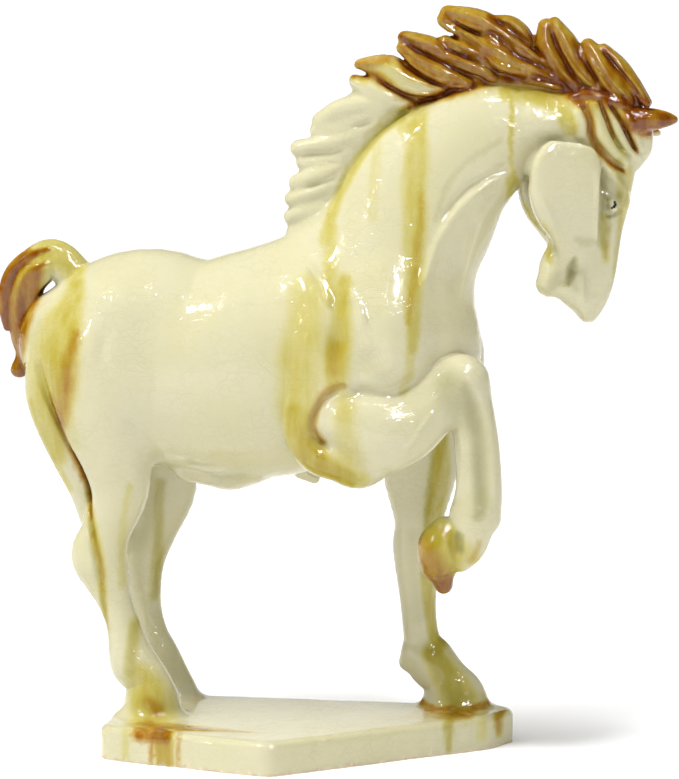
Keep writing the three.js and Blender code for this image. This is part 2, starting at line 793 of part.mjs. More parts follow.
function fillLoops(next, places, triangles) {
  while (next.size > 0) {
    const loop = [];
    let at = next.keys().next().value;
    while (next.has(at)) {
      loop.push(at);
      const following = next.get(at);
      next.delete(at);
      at = following;
    }
    if (loop.length < 5) {
      for (let i = 2; i < loop.length; i += 1) {
        triangles.push([loop[0], loop[i], loop[i - 1]]);
      }
    } else {
      const centre = [0, 1, 2].map((axis) => loop.reduce((sum, v) => sum + places[v][axis], 0) / loop.length);
      const hub = places.length;
      places.push(centre);
      loop.forEach((v, i) => triangles.push([hub, loop[(i + 1) % loop.length], v]));
    }
  }
}

// Only the outer skin is kept, so small gaps shut in between two masses are filled.
function outerSkin({ places, triangles }) {
  const leader = places.map((place, v) => v);
  const leaderOf = (v) => {
    let at = v;
    while (leader[at] !== at) {
      leader[at] = leader[leader[at]];
      at = leader[at];
    }
    return at;
  };
  for (const [a, b, c] of triangles) {
    leader[leaderOf(a)] = leaderOf(b);
    leader[leaderOf(b)] = leaderOf(c);
  }
  const sizes = new Map();
  for (const [a] of triangles) {
    sizes.set(leaderOf(a), (sizes.get(leaderOf(a)) || 0) + 1);
  }
  const [largest] = [...sizes].reduce((best, entry) => (entry[1] > best[1] ? entry : best));
  return { places, triangles: triangles.filter(([a]) => leaderOf(a) === largest) };
}

// Fewer facets: the edge whose removal moves the surface least is collapsed first.
// A quadric holds the ten sums that give the squared distance to a set of planes.
function planeQuadric([a, b, c], d, weight) {
  const products = [a * a, a * b, a * c, a * d, b * b, b * c, b * d, c * c, c * d, d * d];
  return products.map((value) => value * weight);
}
function quadricAt(q, [x, y, z]) {
  return q[0] * x * x + 2 * q[1] * x * y + 2 * q[2] * x * z + 2 * q[3] * x
    + q[4] * y * y + 2 * q[5] * y * z + 2 * q[6] * y + q[7] * z * z + 2 * q[8] * z + q[9];
}
function bestPlace(q, a, b) {
  const middle = a.map((value, i) => (value + b[i]) / 2);
  const m = new THREE.Matrix3().set(q[0], q[1], q[2], q[1], q[4], q[5], q[2], q[5], q[7]);
  const scale = q[0] + q[4] + q[7];
  if (Math.abs(m.determinant()) > 1e-4 * scale ** 3) {
    const solved = new THREE.Vector3(-q[3], -q[6], -q[8]).applyMatrix3(m.invert()).toArray();
    const span = Math.hypot(...minus(a, b));
    if (Math.hypot(...minus(solved, middle)) < span * 1.5) {
      return solved;
    }
  }
  return [a, b, middle].reduce((best, place) => (quadricAt(q, place) < quadricAt(q, best) ? place : best));
}

class Heap {
  items = [];

  push(item) {
    const { items } = this;
    let at = items.length;
    items.push(item);
    while (at > 0) {
      const parent = (at - 1) >> 1;
      if (items[parent].cost <= item.cost) {
        break;
      }
      items[at] = items[parent];
      at = parent;
    }
    items[at] = item;
  }

  pop() {
    const { items } = this;
    const top = items[0];
    const moved = items.pop();
    if (items.length > 0) {
      let at = 0;
      for (;;) {
        let child = at * 2 + 1;
        if (child + 1 < items.length && items[child + 1].cost < items[child].cost) {
          child += 1;
        }
        if (child >= items.length || items[child].cost >= moved.cost) {
          break;
        }
        items[at] = items[child];
        at = child;
      }
      items[at] = moved;
    }
    return top;
  }
}

function normalOf(a, b, c) {
  return cross(minus(b, a), minus(c, a));
}

function fewerFacets({ places, triangles }, target) {
  const around = places.map(() => new Set());
  const quadrics = places.map(() => new Array(10).fill(0));
  const stamp = new Int32Array(places.length);
  triangles.forEach((triangle, index) => {
    const [a, b, c] = triangle.map((v) => places[v]);
    const normal = normalOf(a, b, c);
    const area = Math.hypot(...normal) / 2;
    const direction = unit(normal);
    const quadric = planeQuadric(direction, -dot(direction, a), area + 1e-6);
    for (const v of triangle) {
      around[v].add(index);
      quadric.forEach((value, i) => {
        quadrics[v][i] += value;
      });
    }
  });
  const neighbours = (v) => {
    const found = new Set();
    for (const index of around[v]) {
      for (const other of triangles[index]) {
        found.add(other);
      }
    }
    found.delete(v);
    return found;
  };
  const heap = new Heap();
  const slenderWeight = 2e-3 * surfaceStep * surfaceStep;
  const offer = (a, b) => {
    const quadric = quadrics[a].map((value, i) => value + quadrics[b][i]);
    const place = bestPlace(quadric, places[a], places[b]);
    const span = minus(places[a], places[b]);
    const cost = quadricAt(quadric, place) + slenderWeight * dot(span, span);
    heap.push({ a, b, place, quadric, cost, stampA: stamp[a], stampB: stamp[b] });
  };
  const flips = (v, leaving, place) => {
    for (const index of around[v]) {
      const triangle = triangles[index];
      if (!triangle.includes(leaving)) {
        const before = unit(normalOf(...triangle.map((w) => places[w])));
        const after = unit(normalOf(...triangle.map((w) => (w === v ? place : places[w]))));
        if (dot(before, after) < 0.35) {
          return true;
        }
      }
    }
    return false;
  };
  for (const [a, b, c] of triangles) {
    for (const [p, q] of [[a, b], [b, c], [c, a]]) {
      if (p < q) {
        offer(p, q);
      }
    }
  }
  let left = triangles.length;
  while (left > target && heap.items.length > 0) {
    const { a, b, place, quadric, stampA, stampB } = heap.pop();
    if (stamp[a] === stampA && stamp[b] === stampB) {
      const beside = neighbours(a);
      const shared = [...neighbours(b)].filter((v) => beside.has(v));
      if (shared.length === 2 && !flips(a, b, place) && !flips(b, a, place)) {
        for (const index of around[b]) {
          const triangle = triangles[index];
          if (triangle.includes(a)) {
            triangle.forEach((v) => around[v].delete(index));
            triangles[index] = [];
            left -= 1;
          } else {
            triangles[index] = triangle.map((v) => (v === b ? a : v));
            around[a].add(index);
          }
        }
        around[b].clear();
        places[a] = place;
        quadrics[a] = quadric;
        stamp[a] += 1;
        stamp[b] = -1;
        neighbours(a).forEach((v) => offer(a, v));
      }
    }
  }
  return { places, triangles: triangles.filter((triangle) => triangle.length === 3) };
}

// Solids for joining and cutting
const wasm = await Module();
wasm.setup();
function solidFrom(geometry) {
  const bare = geometry.clone();
  bare.deleteAttribute('normal');
  bare.deleteAttribute('uv');
  const merged = mergeVertices(bare, 1e-4);
  return new wasm.Manifold(new wasm.Mesh({
    numProp: 3,
    vertProperties: new Float32Array(merged.attributes.position.array),
    triVerts: new Uint32Array(merged.index.array),
  }));
}
function geometryFrom(solid) {
  const { vertProperties, triVerts } = solid.getMesh();
  const geometry = new THREE.BufferGeometry();
  geometry.setAttribute('position', new THREE.BufferAttribute(new Float32Array(vertProperties), 3));
  geometry.setIndex(new THREE.BufferAttribute(new Uint32Array(triVerts), 1));
  geometry.computeVertexNormals();
  return geometry;
}

// Where the three standing hooves meet the plinth, in millimetres from the figure's middle
const hindNearHoof = { x: -217 * share, y: -59 * share };
const hindFarHoof = { x: -213 * share, y: 57 * share };
const foreFarHoof = { x: 200 * share, y: 63 * share };

// Plinth: a lopsided lozenge with rounded corners, drawn around the hooves.
const backEnd = hindNearHoof.x - plinthBehindHoof;
const frontEnd = foreFarHoof.x + plinthAheadOfHoof;
const nearEdge = -plinthNearReach;
const farAtHind = hindFarHoof.y + plinthBeyondHoof;
const farAtFore = foreFarHoof.y + plinthBeyondHoof;
const middleX = (backEnd + frontEnd) / 2;
const middleY = (nearEdge + farAtFore) / 2;
const nearestCornerX = middleX - plinthBeyondHoof;
const farWaist = farAtFore - plinthWaist;
const besideHoof = 2 * plinthBeyondHoof;
const plinthCorners = [
  [backEnd, -plinthNearReachAtBack],
  [nearestCornerX, nearEdge],
  [frontEnd - plinthBeyondHoof, 0],
  [frontEnd, farWaist - plinthWaist],
  [foreFarHoof.x + plinthAheadOfHoof / 2, farAtFore],
  [foreFarHoof.x - besideHoof, farWaist],
  [hindFarHoof.x + besideHoof, farWaist],
  [hindFarHoof.x - plinthBehindHoof / 2, farAtHind],
  [backEnd, plinthBeyondHoof],
].map(([x, y]) => new THREE.Vector2(x - middleX, y - middleY));

// The corners moved inwards, so that every edge shifts by the same inset.
function insetCorners(corners, inset) {
  return corners.map((corner, i) => {
    const arriving = corner.clone().sub(corners[(i + corners.length - 1) % corners.length]).normalize();
    const leaving = corners[(i + 1) % corners.length].clone().sub(corner).normalize();
    const inwards = new THREE.Vector2(-arriving.y - leaving.y, arriving.x + leaving.x);
    return corner.clone().addScaledVector(inwards, inset / (1 + arriving.dot(leaving)));
  });
}

const stepsPerCorner = 5;
function roundedOutline(corners, radius) {
  const points = [];
  corners.forEach((corner, i) => {
    const before = corners[(i + corners.length - 1) % corners.length];
    const after = corners[(i + 1) % corners.length];
    const back = Math.min(radius / corner.distanceTo(before), 0.45);
    const on = Math.min(radius / corner.distanceTo(after), 0.45);
    const bend = new THREE.QuadraticBezierCurve(
      corner.clone().lerp(before, back), corner, corner.clone().lerp(after, on));
    points.push(...bend.getPoints(stepsPerCorner));
  });
  return points;
}

// Upright sides, then a rounded upper edge, then the flat top
function makePlinth() {
  const edge = Math.min(plinthEdgeRadius, plinthThickness);
  const rings = [{ inset: 0, height: 0 }];
  const edgeSteps = 4;
  for (let step = 0; step <= edgeSteps; step += 1) {
    const angle = (step / edgeSteps) * Math.PI / 2;
    rings.push({
      inset: edge * (1 - Math.cos(angle)),
      height: plinthThickness - edge * (1 - Math.sin(angle)),
    });
  }
  const outlines = rings.map(({ inset }) => roundedOutline(
    insetCorners(plinthCorners, inset), plinthCornerRadius));
  const around = outlines[0].length;
  const positions = outlines.flatMap((outline, ring) => (
    outline.flatMap(({ x, y }) => [x, y, rings[ring].height])));
  const faces = [];
  for (let ring = 0; ring + 1 < rings.length; ring += 1) {
    for (let i = 0; i < around; i += 1) {
      const a = ring * around + i;
      const b = ring * around + (i + 1) % around;
      faces.push(a, b, b + around, a, b + around, a + around);
    }
  }
  const topStart = (rings.length - 1) * around;
  for (const [a, b, c] of THREE.ShapeUtils.triangulateShape(outlines[0], [])) {
    faces.push(a, c, b);
  }
  for (const [a, b, c] of THREE.ShapeUtils.triangulateShape(outlines[rings.length - 1], [])) {
    faces.push(topStart + a, topStart + b, topStart + c);
  }
  const geometry = new THREE.BufferGeometry();
  geometry.setAttribute('position', new THREE.Float32BufferAttribute(positions, 3));
  geometry.setIndex(faces);
  return solidFrom(geometry);
}

function makeFigure() {
  const { places, triangles } = fewerFacets(outerSkin(skinOf(fillGrid())), figureTriangles);
  const geometry = new THREE.BufferGeometry();
  geometry.setAttribute('position', new THREE.Float32BufferAttribute(places.flat(), 3));
  geometry.setIndex(triangles.flat());
  geometry.translate(-middleX, -middleY, plinthThickness);
  return solidFrom(geometry);
}

function makeHorse() {
  const size = figureHeight * 2 + plinthThickness;
  const above = new THREE.BoxGeometry(size, size, size);
  above.translate(0, 0, size / 2);
  const joined = makePlinth().add(makeFigure());
  return geometryFrom(joined.intersect(solidFrom(above)));
}

const glaze = new THREE.MeshStandardMaterial({ color: 0xe6dfc0, roughness: 0.12, metalness: 0 });
const horse = new THREE.Mesh(makeHorse(), glaze);
horse.name = 'horse';

const group = new THREE.Group();
group.name = 'glazed_horse';
group.add(horse);
export default group;
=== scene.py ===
"""A prancing horse of glazed earthenware on a low plinth, dressed for rendering.

The horse and its plinth are one casting, so they are one piece here. Its surface is worked
out from the same masses as the part's, but more finely, with the hair strands and small
folds that the part's coarser facets leave out. Lengths are in millimetres until the mesh is
made. The tables are in thousandths of the figure's height: forward from the figure's
middle, left from the horse's midline, and up from the plinth's top.
"""
import math

import bmesh
import bpy
import numpy as np
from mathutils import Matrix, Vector

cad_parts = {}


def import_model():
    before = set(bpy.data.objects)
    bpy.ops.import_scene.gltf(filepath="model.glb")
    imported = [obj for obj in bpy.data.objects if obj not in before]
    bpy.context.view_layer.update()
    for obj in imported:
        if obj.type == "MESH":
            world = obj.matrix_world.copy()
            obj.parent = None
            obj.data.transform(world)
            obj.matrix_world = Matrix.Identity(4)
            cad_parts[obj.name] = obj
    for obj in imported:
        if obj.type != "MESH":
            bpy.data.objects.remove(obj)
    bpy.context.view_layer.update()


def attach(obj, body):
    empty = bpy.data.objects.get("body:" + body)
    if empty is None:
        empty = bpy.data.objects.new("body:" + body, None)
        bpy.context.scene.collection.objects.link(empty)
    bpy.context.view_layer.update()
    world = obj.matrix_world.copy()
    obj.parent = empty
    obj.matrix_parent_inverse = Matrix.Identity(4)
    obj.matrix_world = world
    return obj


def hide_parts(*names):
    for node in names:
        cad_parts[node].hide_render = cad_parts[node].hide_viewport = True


# Sizes of the part, in millimetres
FIGURE_HEIGHT = 283.0
PLINTH_THICKNESS = 13.3
PLINTH_EDGE_RADIUS = 3.0
PLINTH_CORNER_RADIUS = 8.0
PLINTH_BEHIND_HOOF = 16.5
PLINTH_AHEAD_OF_HOOF = 25.5
PLINTH_BEYOND_HOOF = 9.0
PLINTH_NEAR_REACH = 59.5
PLINTH_NEAR_REACH_AT_BACK = 41.0
PLINTH_WAIST = 5.0
PLINTH_WAVE = 0.16

# The hand-cut unevenness of the plinth's sides, as waves: (share, turns in x, in y and in z, start)
PLINTH_WAVES = [(1.0, 0.21, 0.0, 0.13, 0.0), (1.0, -0.11, 0.34, 0.0, 2.0), (0.6, 0.7, 0.4, 0.0, 0.0)]

# How finely the surface is worked out
GRID_STEP = 0.8
MOST_TRIANGLES = 190000
EVENNESS = 0.02
EVEN_WEIGHT = 0.5
SLOPE_REACH = 0.7
CREASE_REACH = 1.6

# How far up the plinth's edge the clay stays bare, and how softly the glaze ends there
BARE_RIM = 0.5
BARE_FADE = 0.3
STEPS_PER_SPAN = 5
GLAZE_FILLET = 5.0
HIGHEST_FILLET = 12.0
SEEK_REACH = 180
SEEK_STEP = 4.5
FOLD_EASE = 3.0
FOLD_TIP = 0.15

SHARE = FIGURE_HEIGHT / 1000.0
MM = 0.001
FAR = 1000.0
LEFT = (0.0, 1.0, 0.0)
NEAR_SIDE = (0.0, -1.0, 0.0)
FAR_SIDE = (0.0, 1.0, 0.0)


def unit(vector):
    vector = np.asarray(vector, dtype=float)
    return vector / max(np.linalg.norm(vector), 1e-9)


def smooth_path(stations):
    """Rows along a smooth curve through the stations: a place, then any widths."""
    rows = np.array(stations, dtype=float)
    last = len(rows) - 1
    path = []
    for span in range(last):
        before = rows[max(span - 1, 0)]
        start = rows[span]
        end = rows[span + 1]
        after = rows[min(span + 2, last)]
        for step in range(STEPS_PER_SPAN):
            t = step / STEPS_PER_SPAN
            bend = (2 * before - 5 * start + 4 * end - after) * t * t
            ease = (3 * start - before - 3 * end + after) * t * t * t
            path.append(0.5 * (2 * start + (end - before) * t + bend + ease))
    path.append(rows[last])
    return np.array(path)


masses = []
folds = []


def add_mass(stations, blend, side=LEFT, square=2.0):
    """A sweep through stations [forward, left, up, half-width across, half-width deep].

    blend is how softly it runs into the masses before it, and square above 2 flattens
    its section towards a rounded box.
    """
    rows = smooth_path(stations) * SHARE
    rows[:, 3:5] = np.maximum(rows[:, 3:5], SHARE)
    reach = blend * SHARE
    bars = []
    for start, end in zip(rows[:-1], rows[1:]):
        axis = end[:3] - start[:3]
        along = unit(axis)
        across = unit(np.asarray(side, dtype=float) - along * np.dot(side, along))
        turn = np.stack([across, np.cross(along, across), along])
        margin = max(start[3:5].max(), end[3:5].max()) + reach + 5.0
        bars.append({
            "start": start[:3],
            "axis": axis,
            "squared": max(np.dot(axis, axis), 1e-9),
            "turn": turn,
            "halves": (start[3:5], end[3:5]),
            "low": np.minimum(start[:3], end[:3]) - margin,
            "high": np.maximum(start[:3], end[:3]) + margin,
        })
    masses.append({
        "bars": bars,
        "blend": reach,
        "square": square,
        "low": np.min([bar["low"] for bar in bars], axis=0),
        "high": np.max([bar["high"] for bar in bars], axis=0),
    })


def add_fold(stations, width, height, facing, depth=70):
    """A soft ridge laid along a path on one side of the figure, or a groove if height < 0."""
    rows = smooth_path(stations) * SHARE
    reach = max(width * 2.2, depth) * SHARE
    run = np.concatenate([[0], np.cumsum(np.linalg.norm(np.diff(rows, axis=0), axis=1))])
    from_end = np.minimum(run, run[-1] - run)
    folds.append({
        "rows": rows,
        "strength": np.clip(from_end / (FOLD_EASE * width * SHARE), FOLD_TIP, 1),
        "width": width * SHARE,
        "height": height * SHARE,
        "facing": np.asarray(facing, dtype=float),
        "depth": depth * SHARE,
        "low": rows.min(axis=0) - reach,
        "high": rows.max(axis=0) + reach,
    })


def mirrored(stations):
    """The same stations on the other side of the midline."""
    return [(row[0], -row[1], *row[2:]) for row in stations]


def add_both(stations, blend):
    add_mass(stations, blend)
    add_mass(mirrored(stations), blend)


def laid_on(places, facing, distance=None, reach=SEEK_REACH):
    """The places moved to where the figure, as it is so far, is met first.

    The search starts at reach on the side that facing names; 0 is the midline, for a
    far leg's inner face.
    """
    distance = distance or figure_distance
    places = np.array(places, dtype=float)
    facing = np.asarray(facing, dtype=float)
    offsets = np.arange(reach, -SEEK_REACH, -SEEK_STEP)
    samples = places[:, None, :3] + facing * offsets[None, :, None]
    found = distance(samples.reshape(-1, 3) * SHARE).reshape(len(places), -1)
    inside = found < 0
    first = np.where(inside.any(axis=1), inside.argmax(axis=1), found.argmin(axis=1))
    first = np.maximum(first, 1)
    row = np.arange(len(places))
    before = np.maximum(found[row, first - 1], 1e-6)
    t = before / np.maximum(before - found[row, first], 1e-6)
    offset = offsets[first - 1] - np.clip(t, 0, 1) * SEEK_STEP
    places[:, :3] += facing * offset[:, None]
    return places


def add_flank_fold(path, width, height, sides=(NEAR_SIDE, FAR_SIDE), depth=40):
    """A fold along (forward, up) places on the horse's flanks."""
    for side in sides:
        add_fold(laid_on([(ahead, 0, up) for ahead, up in path], side), width, height, side, depth)


# The head is carved upright in a frame of its own, (towards the face, to the horse's
# right, up), and turned a little to the horse's left at the poll.
POLL = (389.5, 20.0, 858.0)
HEAD_TURN = math.radians(20)
FACE_AHEAD = (math.cos(HEAD_TURN), math.sin(HEAD_TURN), 0.0)
FACE_RIGHT = (math.sin(HEAD_TURN), -math.cos(HEAD_TURN), 0.0)


def on_head(stations):
    placed = []
    for ahead, right, up, *widths in stations:
        placed.append((
            POLL[0] + FACE_AHEAD[0] * ahead + FACE_RIGHT[0] * right,
            POLL[1] + FACE_AHEAD[1] * ahead + FACE_RIGHT[1] * right,
            POLL[2] + up,
            *widths,
        ))
    return placed


def add_head(stations, blend, square=2.0):
    add_mass(on_head(stations), blend, FACE_RIGHT, square)


def add_both_cheeks(stations, blend, square=2.0):
    add_head(stations, blend, square)
    add_head(mirrored(stations), blend, square)


def face_side(sign):
    """Out of the right (1) or left (-1) side of the head."""
    return np.array(FACE_RIGHT) * sign


def add_face_fold(path, width, height, depth=15):
    """A fold along (ahead, up) places on both sides of the head."""
    places = on_head([(ahead, 0, up) for ahead, up in path])
    for sign in (1, -1):
        add_fold(laid_on(places, face_side(sign)), width, height, face_side(sign), depth)


def add_face_swell(path, blend, sunk=0.4, flat=1.0):
    """A raised strand or pad along (ahead, up, half-width) places on both sides of the head.

    sunk is how much of its half-width lies below what it is laid on, and flat thins it.
    """
    places = on_head([(ahead, 0, up, half) for ahead, up, half in path])
    for sign in (1, -1):
        rows = []
        for ahead, left, up, half in laid_on(places, face_side(sign)):
            out = face_side(sign) * -sunk * half * flat
            rows.append((ahead + out[0], left + out[1], up + out[2], half * flat, half))
        add_mass(rows, blend, FACE_RIGHT)


def shape_body():
    # Barrel, from the rump to the breast, and the withers
    add_mass([
        (-345, 0, 522, 66, 80), (-287, 0, 507, 90, 129), (-229, 0, 504, 100, 151),
        (-157, 0, 488, 110, 147), (-86, 0, 490, 117, 158), (-14, 0, 502, 112, 158),
        (57, 0, 513, 100, 152), (122, 0, 520, 86, 130), (165, 0, 522, 60, 92),
    ], 40)
    add_mass([
        (-120, 0, 606, 40, 26), (-60, 0, 627, 40, 30), (-10, 0, 645, 36, 34), (40, 0, 664, 34, 36),
    ], 30)
    # Neck, arched up and over to the poll
    add_mass([
        (75, 0, 560, 92, 125), (118, 0, 636, 78, 109), (147, 3, 706, 66, 112),
        (185, 6, 765, 57, 99), (243, 12, 810, 49, 80), (305, 18, 833, 40, 52),
        (352, 20, 836, 36, 40),
    ], 50)


def shape_hind_legs():
    # Near hind leg: haunch, hock, cannon, fetlock and hoof, then the muscle behind it
    add_mass([
        (-262, -45, 560, 50, 60), (-280, -62, 500, 48, 78), (-285, -66, 440, 46, 66),
        (-270, -64, 376, 40, 52), (-262, -60, 320, 32, 43), (-281, -58, 262, 25, 35),
        (-292, -57, 226, 27, 40), (-283, -57, 198, 25, 34), (-270, -57, 162, 20, 25),
        (-258, -57, 127, 20, 24), (-249, -58, 91, 24, 30), (-241, -58, 70, 27, 34),
        (-222, -59, 47, 26, 31), (-217, -59, 20, 32, 39), (-217, -59, -8, 36, 45),
    ], 30)
    add_mass([
        (-335, -36, 540, 40, 54), (-352, -42, 470, 34, 48), (-354, -42, 430, 30, 39),
        (-336, -40, 371, 24, 31), (-317, -38, 314, 19, 21), (-307, -40, 264, 12, 13),
    ], 8)
    # Far hind leg
    add_mass([
        (-262, 45, 548, 50, 60), (-280, 60, 490, 48, 76), (-285, 64, 430, 45, 64),
        (-246, 62, 355, 40, 66), (-225, 58, 306, 32, 50), (-240, 57, 243, 24, 35),
        (-258, 57, 198, 26, 35), (-253, 57, 140, 19, 25), (-242, 57, 96, 19, 22),
        (-229, 57, 60, 25, 27), (-216, 57, 31, 25, 28), (-213, 57, 4, 31, 38),
        (-213, 57, -10, 33, 41),
    ], 30)
    add_mass([
        (-335, 36, 530, 40, 52), (-352, 42, 432, 30, 37), (-335, 40, 360, 24, 29),
        (-300, 42, 300, 17, 19),
    ], 10)


def shape_forelegs():
    # Far foreleg, which stands
    add_mass([
        (152, 46, 430, 44, 68), (148, 56, 340, 34, 54), (146, 60, 268, 28, 35),
        (144, 62, 225, 28, 35), (145, 63, 153, 21, 26), (151, 63, 95, 21, 26),
        (163, 63, 64, 27, 36), (184, 63, 39, 26, 34), (198, 63, 12, 31, 45),
        (200, 63, -8, 33, 48),
    ], 22)
    add_mass([(138, 63, 78, 16, 16), (131, 63, 62, 15, 13)], 8)
    # Near shoulder: its point, the blade with its edge behind, and the pouch round the elbow
    add_mass([
        (114, -58, 606, 34, 48), (119, -66, 562, 44, 56), (117, -70, 522, 46, 54), (110, -72, 492, 42, 42),
    ], 24)
    add_mass([
        (60, -36, 642, 22, 50), (53, -55, 594, 38, 60), (45, -70, 545, 43, 61), (39, -74, 500, 43, 62),
        (30, -75, 465, 43, 55), (30, -76, 440, 42, 54),
    ], 5, square=3.0)
    add_mass([
        (3, -86, 440, 30, 25), (7, -86, 404, 32, 27), (28, -85, 382, 32, 30), (56, -85, 376, 32, 33),
        (82, -84, 368, 30, 34), (106, -82, 382, 28, 32),
    ], 6)
    # Near forearm, lifted level, and its knee
    add_mass([
        (66, -88, 431, 38, 44), (110, -86, 415, 42, 57), (140, -82, 420, 39, 52), (166, -74, 440, 35, 46),
        (188, -67, 463, 31, 40), (207, -63, 477, 30, 38), (222, -62, 484, 29, 37),
    ], 4)
    # Near cannon hanging from the knee, the fetlock and the curled hoof
    add_mass([
        (222, -62, 482, 28, 37), (236, -61, 437, 25, 31), (243, -60, 389, 23, 31),
        (246, -60, 333, 24, 32), (241, -60, 297, 26, 36),
    ], 12)
    add_mass([(238, -60, 290, 25, 31), (230, -59, 256, 23, 27), (220, -58, 236, 20, 19)], 6)
    add_mass([(200, -58, 270, 24, 24), (190, -58, 250, 29, 30), (191, -58, 226, 26, 26)], 4)
    add_mass([(192, -58, 222, 20, 21), (197, -58, 199, 15, 13)], 2)
    # Far shoulder, which shows as the front of the breast
    add_mass([(140, 50, 560, 44, 56), (183, 54, 510, 42, 56), (165, 52, 430, 38, 58)], 10)


def shape_belly():
    add_mass([
        (-175, 0, 345, 24, 20), (-140, 0, 332, 16, 14), (-112, 0, 334, 30, 20),
        (-85, 0, 342, 40, 20),
    ], 12)
    add_mass([(-16, 24, 340, 14, 12), (2, 24, 330, 8, 8)], 8)


def shape_head():
    # Skull, bridge of the nose, jaw, lip and chin
    add_head([(0, 0, -8, 36, 40), (18, 0, -45, 35, 38), (26, 0, -90, 29, 34)], 18)
    add_head([
        (26, 0, -60, 28, 30), (28, 0, -112, 26, 30), (17, 0, -170, 21, 28),
        (8, 0, -230, 19, 28), (1, 0, -262, 20, 25), (-2, 0, -286, 14, 14),
    ], 10)
    add_head([
        (-34, 0, -85, 30, 56), (-28, 0, -140, 26, 42), (-28, 0, -195, 20, 33),
        (-40, 0, -228, 19, 34), (-58, 0, -245, 16, 19),
    ], 9)
    add_head([(-44, 0, -240, 18, 20), (-26, 0, -258, 17, 18), (-4, 0, -276, 16, 18)], 6)
    # Flat cheeks, each with a thin raised edge in front
    add_both_cheeks([
        (-41, 33, -73, 13, 36), (-43, 33, -85, 13, 44), (-46, 31, -105, 14, 48), (-44, 29, -129, 15, 43),
        (-37, 26, -150, 15, 36), (-31, 22, -168, 14, 31), (-28, 17, -182, 12, 28),
    ], 3, 5.0)
    add_face_fold([(-3, -84), (-2, -127), (-2, -155), (0, -175), (3, -200)], 3.5, 3.5)
    add_face_fold([(6, -90), (7, -127), (8, -155), (10, -176)], 5, -4)
    add_face_fold([(-88, -119), (-74, -137), (-63, -158), (-58, -184)], 6, 2.5)
    # Eye socket, brow, lids and the hollows below them
    add_face_fold([(21, -118), (24, -134), (24, -150)], 13, -9)
    add_face_fold([(7, -84), (19, -94), (31, -104), (41, -117), (46, -132), (44, -146)], 6, 7)
    add_face_swell([(24, -130, 9), (25, -138, 9)], 1, -0.25, 1.0)
    add_face_fold([(5, -95), (11, -109), (16, -117), (22, -119), (30, -123), (39, -131)], 4, -6)
    add_face_fold([(14, -142), (20, -150), (27, -149), (35, -143), (41, -136)], 2.5, -4)
    add_face_fold([(14, -152), (14, -176), (16, -200)], 6, -5)
    add_face_fold([(26, -153), (25, -198), (23, -253)], 4, 3)
    # The hollow below the cheek, the muzzle, the open corner of the mouth and the lips
    add_face_fold([(-26, -182), (-11, -187), (2, -187)], 8, -7)
    add_face_fold([(-62, -204), (-30, -203), (2, -206)], 9, 3)
    add_face_fold([(-27, -208), (-30, -222), (-34, -240)], 7, -11)
    add_face_fold([(-33, -226), (-43, -238), (-52, -250)], 6, -6)
    add_face_fold([(-38, -226), (-48, -242), (-52, -258)], 9, -5)
    add_face_fold([(-16, -222), (-15, -246), (-14, -274)], 4, 4)
    add_face_fold([(0, -240), (3, -268)], 8, -4)
    add_face_fold([(-44, -211), (-59, -227), (-69, -242), (-74, -254)], 7, 3)
    # Ears, laid forward
    add_head([
        (46, 28, -18, 15, 16), (64, 30, -18, 15, 16), (80, 30, -18, 13, 15),
        (95, 29, -18, 10, 11.5), (106, 28, -18.5, 7, 7.5), (112, 27, -19, 4, 4),
    ], 3)
    add_head([(40, -28, -22, 15, 16), (75, -28, -32, 12, 14), (103, -26, -40, 4, 4)], 4)


def shape_forelock():
    """A full middle with strands falling over it on both sides."""
    add_head([(25, 0, 0, 34, 18), (58, 0, -28, 29, 24), (69, 0, -55, 23, 17), (61, 0, -77, 17, 12)], 6)
    add_face_swell([(-84, -14, 16), (-74, -22, 20), (-58, -24, 17)], 6, 0.6, 0.7)
    add_face_swell([(-22, -8, 9), (-21, -22, 12), (-20, -36, 10)], 3, 0.4, 0.8)
    for strand in (
        [(-7, 0, 9), (-1, -18, 11), (6, -34, 12), (15, -49, 12), (26, -62, 11), (38, -74, 9)],
        [(8, 4, 6), (18, -15, 8), (27, -33, 9), (38, -50, 9), (50, -62, 9), (57, -70, 7)],
        [(20, 5, 6), (31, -8, 8), (41, -20, 8), (49, -34, 8), (58, -47, 8), (64, -57, 6)],
    ):
        add_face_swell(strand, 2, 0.15)
    add_face_swell([(-30, 13, 6), (-17, 16, 7), (0, 14, 7), (15, 9, 7), (30, 3, 7), (44, -3, 5)], 2, 0.2)
    add_face_fold([
        (-24, 5), (-16, -7), (-11, -20), (-9, -34), (-7, -42), (0, -54), (9, -65), (20, -75), (32, -83),
        (41, -90),
    ], 4, -8)
    add_face_fold([(4, 2), (11, -15), (17, -33), (26, -50), (38, -65)], 3.5, -7)
    add_face_fold([(16, 3), (26, -10), (34, -22), (42, -37), (50, -52), (58, -64)], 3.5, -7)


def shape_tail():
    """Arched up and falling behind the rump, with strands along it."""
    add_mass([
        (-325, 0, 602, 22, 26), (-355, 0, 632, 22, 28), (-376, 0, 638, 21, 27),
        (-399, 0, 623, 20, 25), (-411, 0, 594, 17, 22), (-414, 0, 559, 14, 20),
        (-418, 0, 526, 10, 13), (-418, 0, 501, 7, 6), (-419, 0, 479, 10, 13),
    ], 5)
    strands = [
        [(-372, 10, 652, 9, 11), (-402, 12, 640, 9, 11), (-427, 11, 616, 9, 10),
         (-437, 9, 578, 8, 10), (-433, 6, 541, 6, 7)],
        [(-372, 17, 630, 9, 14), (-400, 17, 614, 9, 15), (-416, 13, 578, 8, 13),
         (-417, 9, 536, 6, 9), (-415, 5, 506, 4, 5)],
        [(-376, 16, 616, 8, 10), (-393, 15, 596, 8, 9), (-398, 11, 566, 7, 9), (-405, 7, 530, 5, 6)],
    ]
    for strand in strands:
        add_both(strand, 3)


